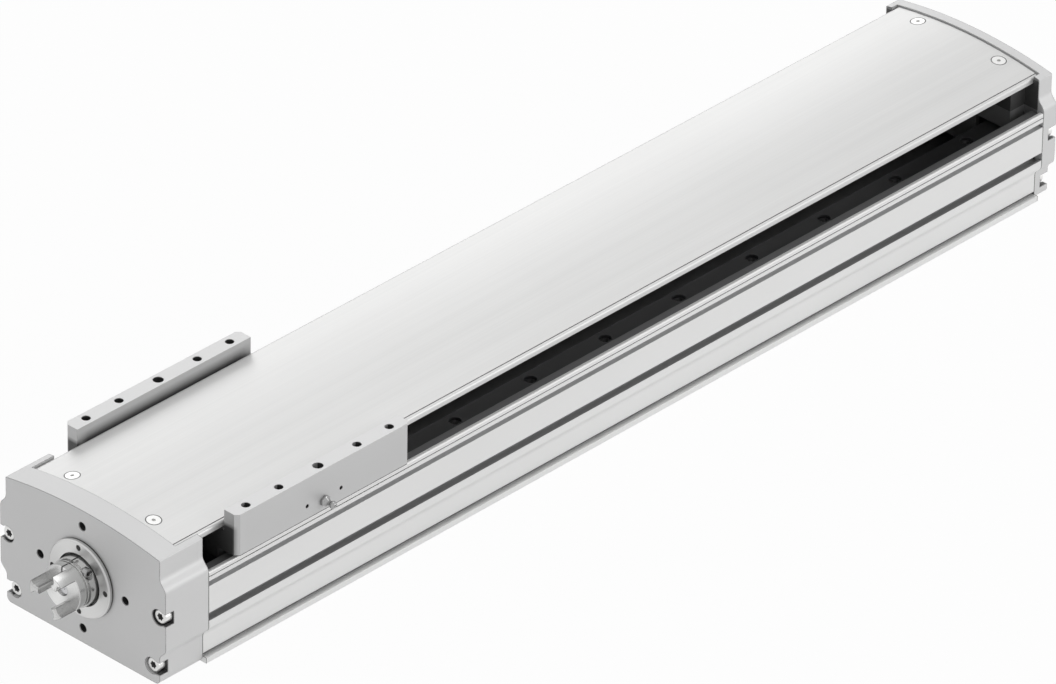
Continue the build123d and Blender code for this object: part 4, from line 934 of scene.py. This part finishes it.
class AXIS_OT_bearings(bpy.types.Operator):
    """Finish the bearings, the retaining ring and the rubber buffers"""
    bl_idname = "linear_axis.bearings"
    bl_label = "Bearings and buffers"

    def execute(self, context):
        dress(*[name for name in frame["nodes"] if "bearing" in name and name != "bearing_lock_ring"])
        dress("idle_circlip", "drive_end_buffers", "idle_end_buffers")
        return {"FINISHED"}


class AXIS_OT_studio(bpy.types.Operator):
    """Set up the floor, the soft lights and the reference camera"""
    bl_idname = "linear_axis.studio"
    bl_label = "Studio"

    def execute(self, context):
        studio = context.scene.linear_axis_studio
        make_floor(studio)
        make_world(studio)
        for name, place, size in SOFTBOXES:
            softbox(name + "_softbox", place, size, getattr(studio, name))
        make_camera()
        context.scene.view_settings.view_transform = "Standard"
        return {"FINISHED"}


def seen_rays(tree):
    """1 for camera, glossy and transmission rays, 0 for all others."""
    path = tree.nodes.new("ShaderNodeLightPath")
    seen = math_node(tree, "MAXIMUM", path.outputs["Is Camera Ray"], path.outputs["Is Glossy Ray"])
    return math_node(tree, "MAXIMUM", seen, path.outputs["Is Transmission Ray"])


def make_floor(studio):
    """Pale floor that keeps the part's shadow and shows nothing from below."""
    bm = bmesh.new()
    bmesh.ops.create_grid(bm, x_segments=24, y_segments=24, size=FLOOR_REACH)
    mesh = bpy.data.meshes.new("studio_floor")
    bm.to_mesh(mesh)
    bm.free()
    floor = bpy.data.objects.new("studio_floor", mesh)
    floor.location.z = -FLOOR_DROP
    bpy.context.scene.collection.objects.link(floor)
    material = bpy.data.materials.new("floor_white")
    material.use_nodes = True
    tree = material.node_tree
    tree.nodes.clear()
    diffuse = tree.nodes.new("ShaderNodeBsdfDiffuse")
    diffuse.inputs["Color"].default_value = (FLOOR_TONE, FLOOR_TONE, FLOOR_TONE, 1)
    glow = tree.nodes.new("ShaderNodeEmission")
    share = math_node(tree, "MULTIPLY", seen_rays(tree), studio.floor_mix)
    lit = tree.nodes.new("ShaderNodeMixShader")
    tree.links.new(share, lit.inputs[0])
    tree.links.new(diffuse.outputs[0], lit.inputs[1])
    tree.links.new(glow.outputs[0], lit.inputs[2])
    clear = tree.nodes.new("ShaderNodeBsdfTransparent")
    geometry = tree.nodes.new("ShaderNodeNewGeometry")
    both = tree.nodes.new("ShaderNodeMixShader")
    tree.links.new(geometry.outputs["Backfacing"], both.inputs[0])
    tree.links.new(lit.outputs[0], both.inputs[1])
    tree.links.new(clear.outputs[0], both.inputs[2])
    output = tree.nodes.new("ShaderNodeOutputMaterial")
    tree.links.new(both.outputs[0], output.inputs["Surface"])
    mesh.materials.append(material)


def make_world(studio):
    """White background for what is seen, softer light for what is lit."""
    world = bpy.data.worlds.new("studio_world")
    world.use_nodes = True
    bpy.context.scene.world = world
    tree = world.node_tree
    background = tree.nodes["Background"]
    background.inputs["Color"].default_value = (1, 1, 1, 1)
    level = ranged(tree, seen_rays(tree), studio.ambient, 1.0)
    tree.links.new(level, background.inputs["Strength"])


def softbox(name, place, size, power):
    """Square area light aimed at the middle of the part."""
    light = bpy.data.lights.new(name, "AREA")
    light.size = size
    light.energy = power
    lamp = bpy.data.objects.new(name, light)
    lamp.location = place
    lamp.rotation_euler = (Vector(SHAFT_CENTRE) - Vector(place)).to_track_quat("-Z", "Y").to_euler()
    bpy.context.scene.collection.objects.link(lamp)


def make_camera():
    """Camera at the viewing angle of the reference."""
    data = bpy.data.cameras.new("reference_camera")
    data.lens = CAMERA_LENS
    data.sensor_width = SENSOR_WIDTH
    data.clip_start = 0.1
    data.clip_end = 60.0
    camera = bpy.data.objects.new("reference_camera", data)
    right = Vector(CAMERA_RIGHT)
    up = Vector(CAMERA_UP)
    turn = Matrix((right, up, right.cross(up))).transposed()
    camera.matrix_world = Matrix.Translation(CAMERA_PLACE) @ turn.to_4x4()
    bpy.context.scene.collection.objects.link(camera)
    bpy.context.scene.camera = camera


OPERATORS = (AXIS_OT_body, AXIS_OT_end_caps, AXIS_OT_cover, AXIS_OT_cover_screws, AXIS_OT_corner_screws,
             AXIS_OT_guide_rails, AXIS_OT_slide, AXIS_OT_runners, AXIS_OT_grease_nipple, AXIS_OT_ball_screw,
             AXIS_OT_coupling, AXIS_OT_bearings, AXIS_OT_studio)


class AXIS_PT_panel(bpy.types.Panel):
    """Sidebar panel that lists the pieces of the linear axis"""
    bl_idname = "AXIS_PT_panel"
    bl_label = "Linear Axis"
    bl_space_type = "VIEW_3D"
    bl_region_type = "UI"
    bl_category = "Linear Axis"

    def draw(self, context):
        scene = context.scene
        for settings in (scene.linear_axis_colours, scene.linear_axis_sizes, scene.linear_axis_studio):
            column = self.layout.column(align=True)
            for name in settings.__annotations__:
                column.prop(settings, name)
        for operator in OPERATORS:
            self.layout.operator(operator.bl_idname)


CLASSES = (AxisColours, AxisSizes, AxisStudio, *OPERATORS, AXIS_PT_panel)


def register():
    for cls in CLASSES:
        bpy.utils.register_class(cls)
    bpy.types.Scene.linear_axis_colours = PointerProperty(type=AxisColours)
    bpy.types.Scene.linear_axis_sizes = PointerProperty(type=AxisSizes)
    bpy.types.Scene.linear_axis_studio = PointerProperty(type=AxisStudio)


def unregister():
    del bpy.types.Scene.linear_axis_studio
    del bpy.types.Scene.linear_axis_sizes
    del bpy.types.Scene.linear_axis_colours
    for cls in reversed(CLASSES):
        bpy.utils.unregister_class(cls)


def main():
    register()
    for operator in OPERATORS:
        group, name = operator.bl_idname.split(".")
        getattr(getattr(bpy.ops, group), name)()


if __name__ == "__main__":
    main()
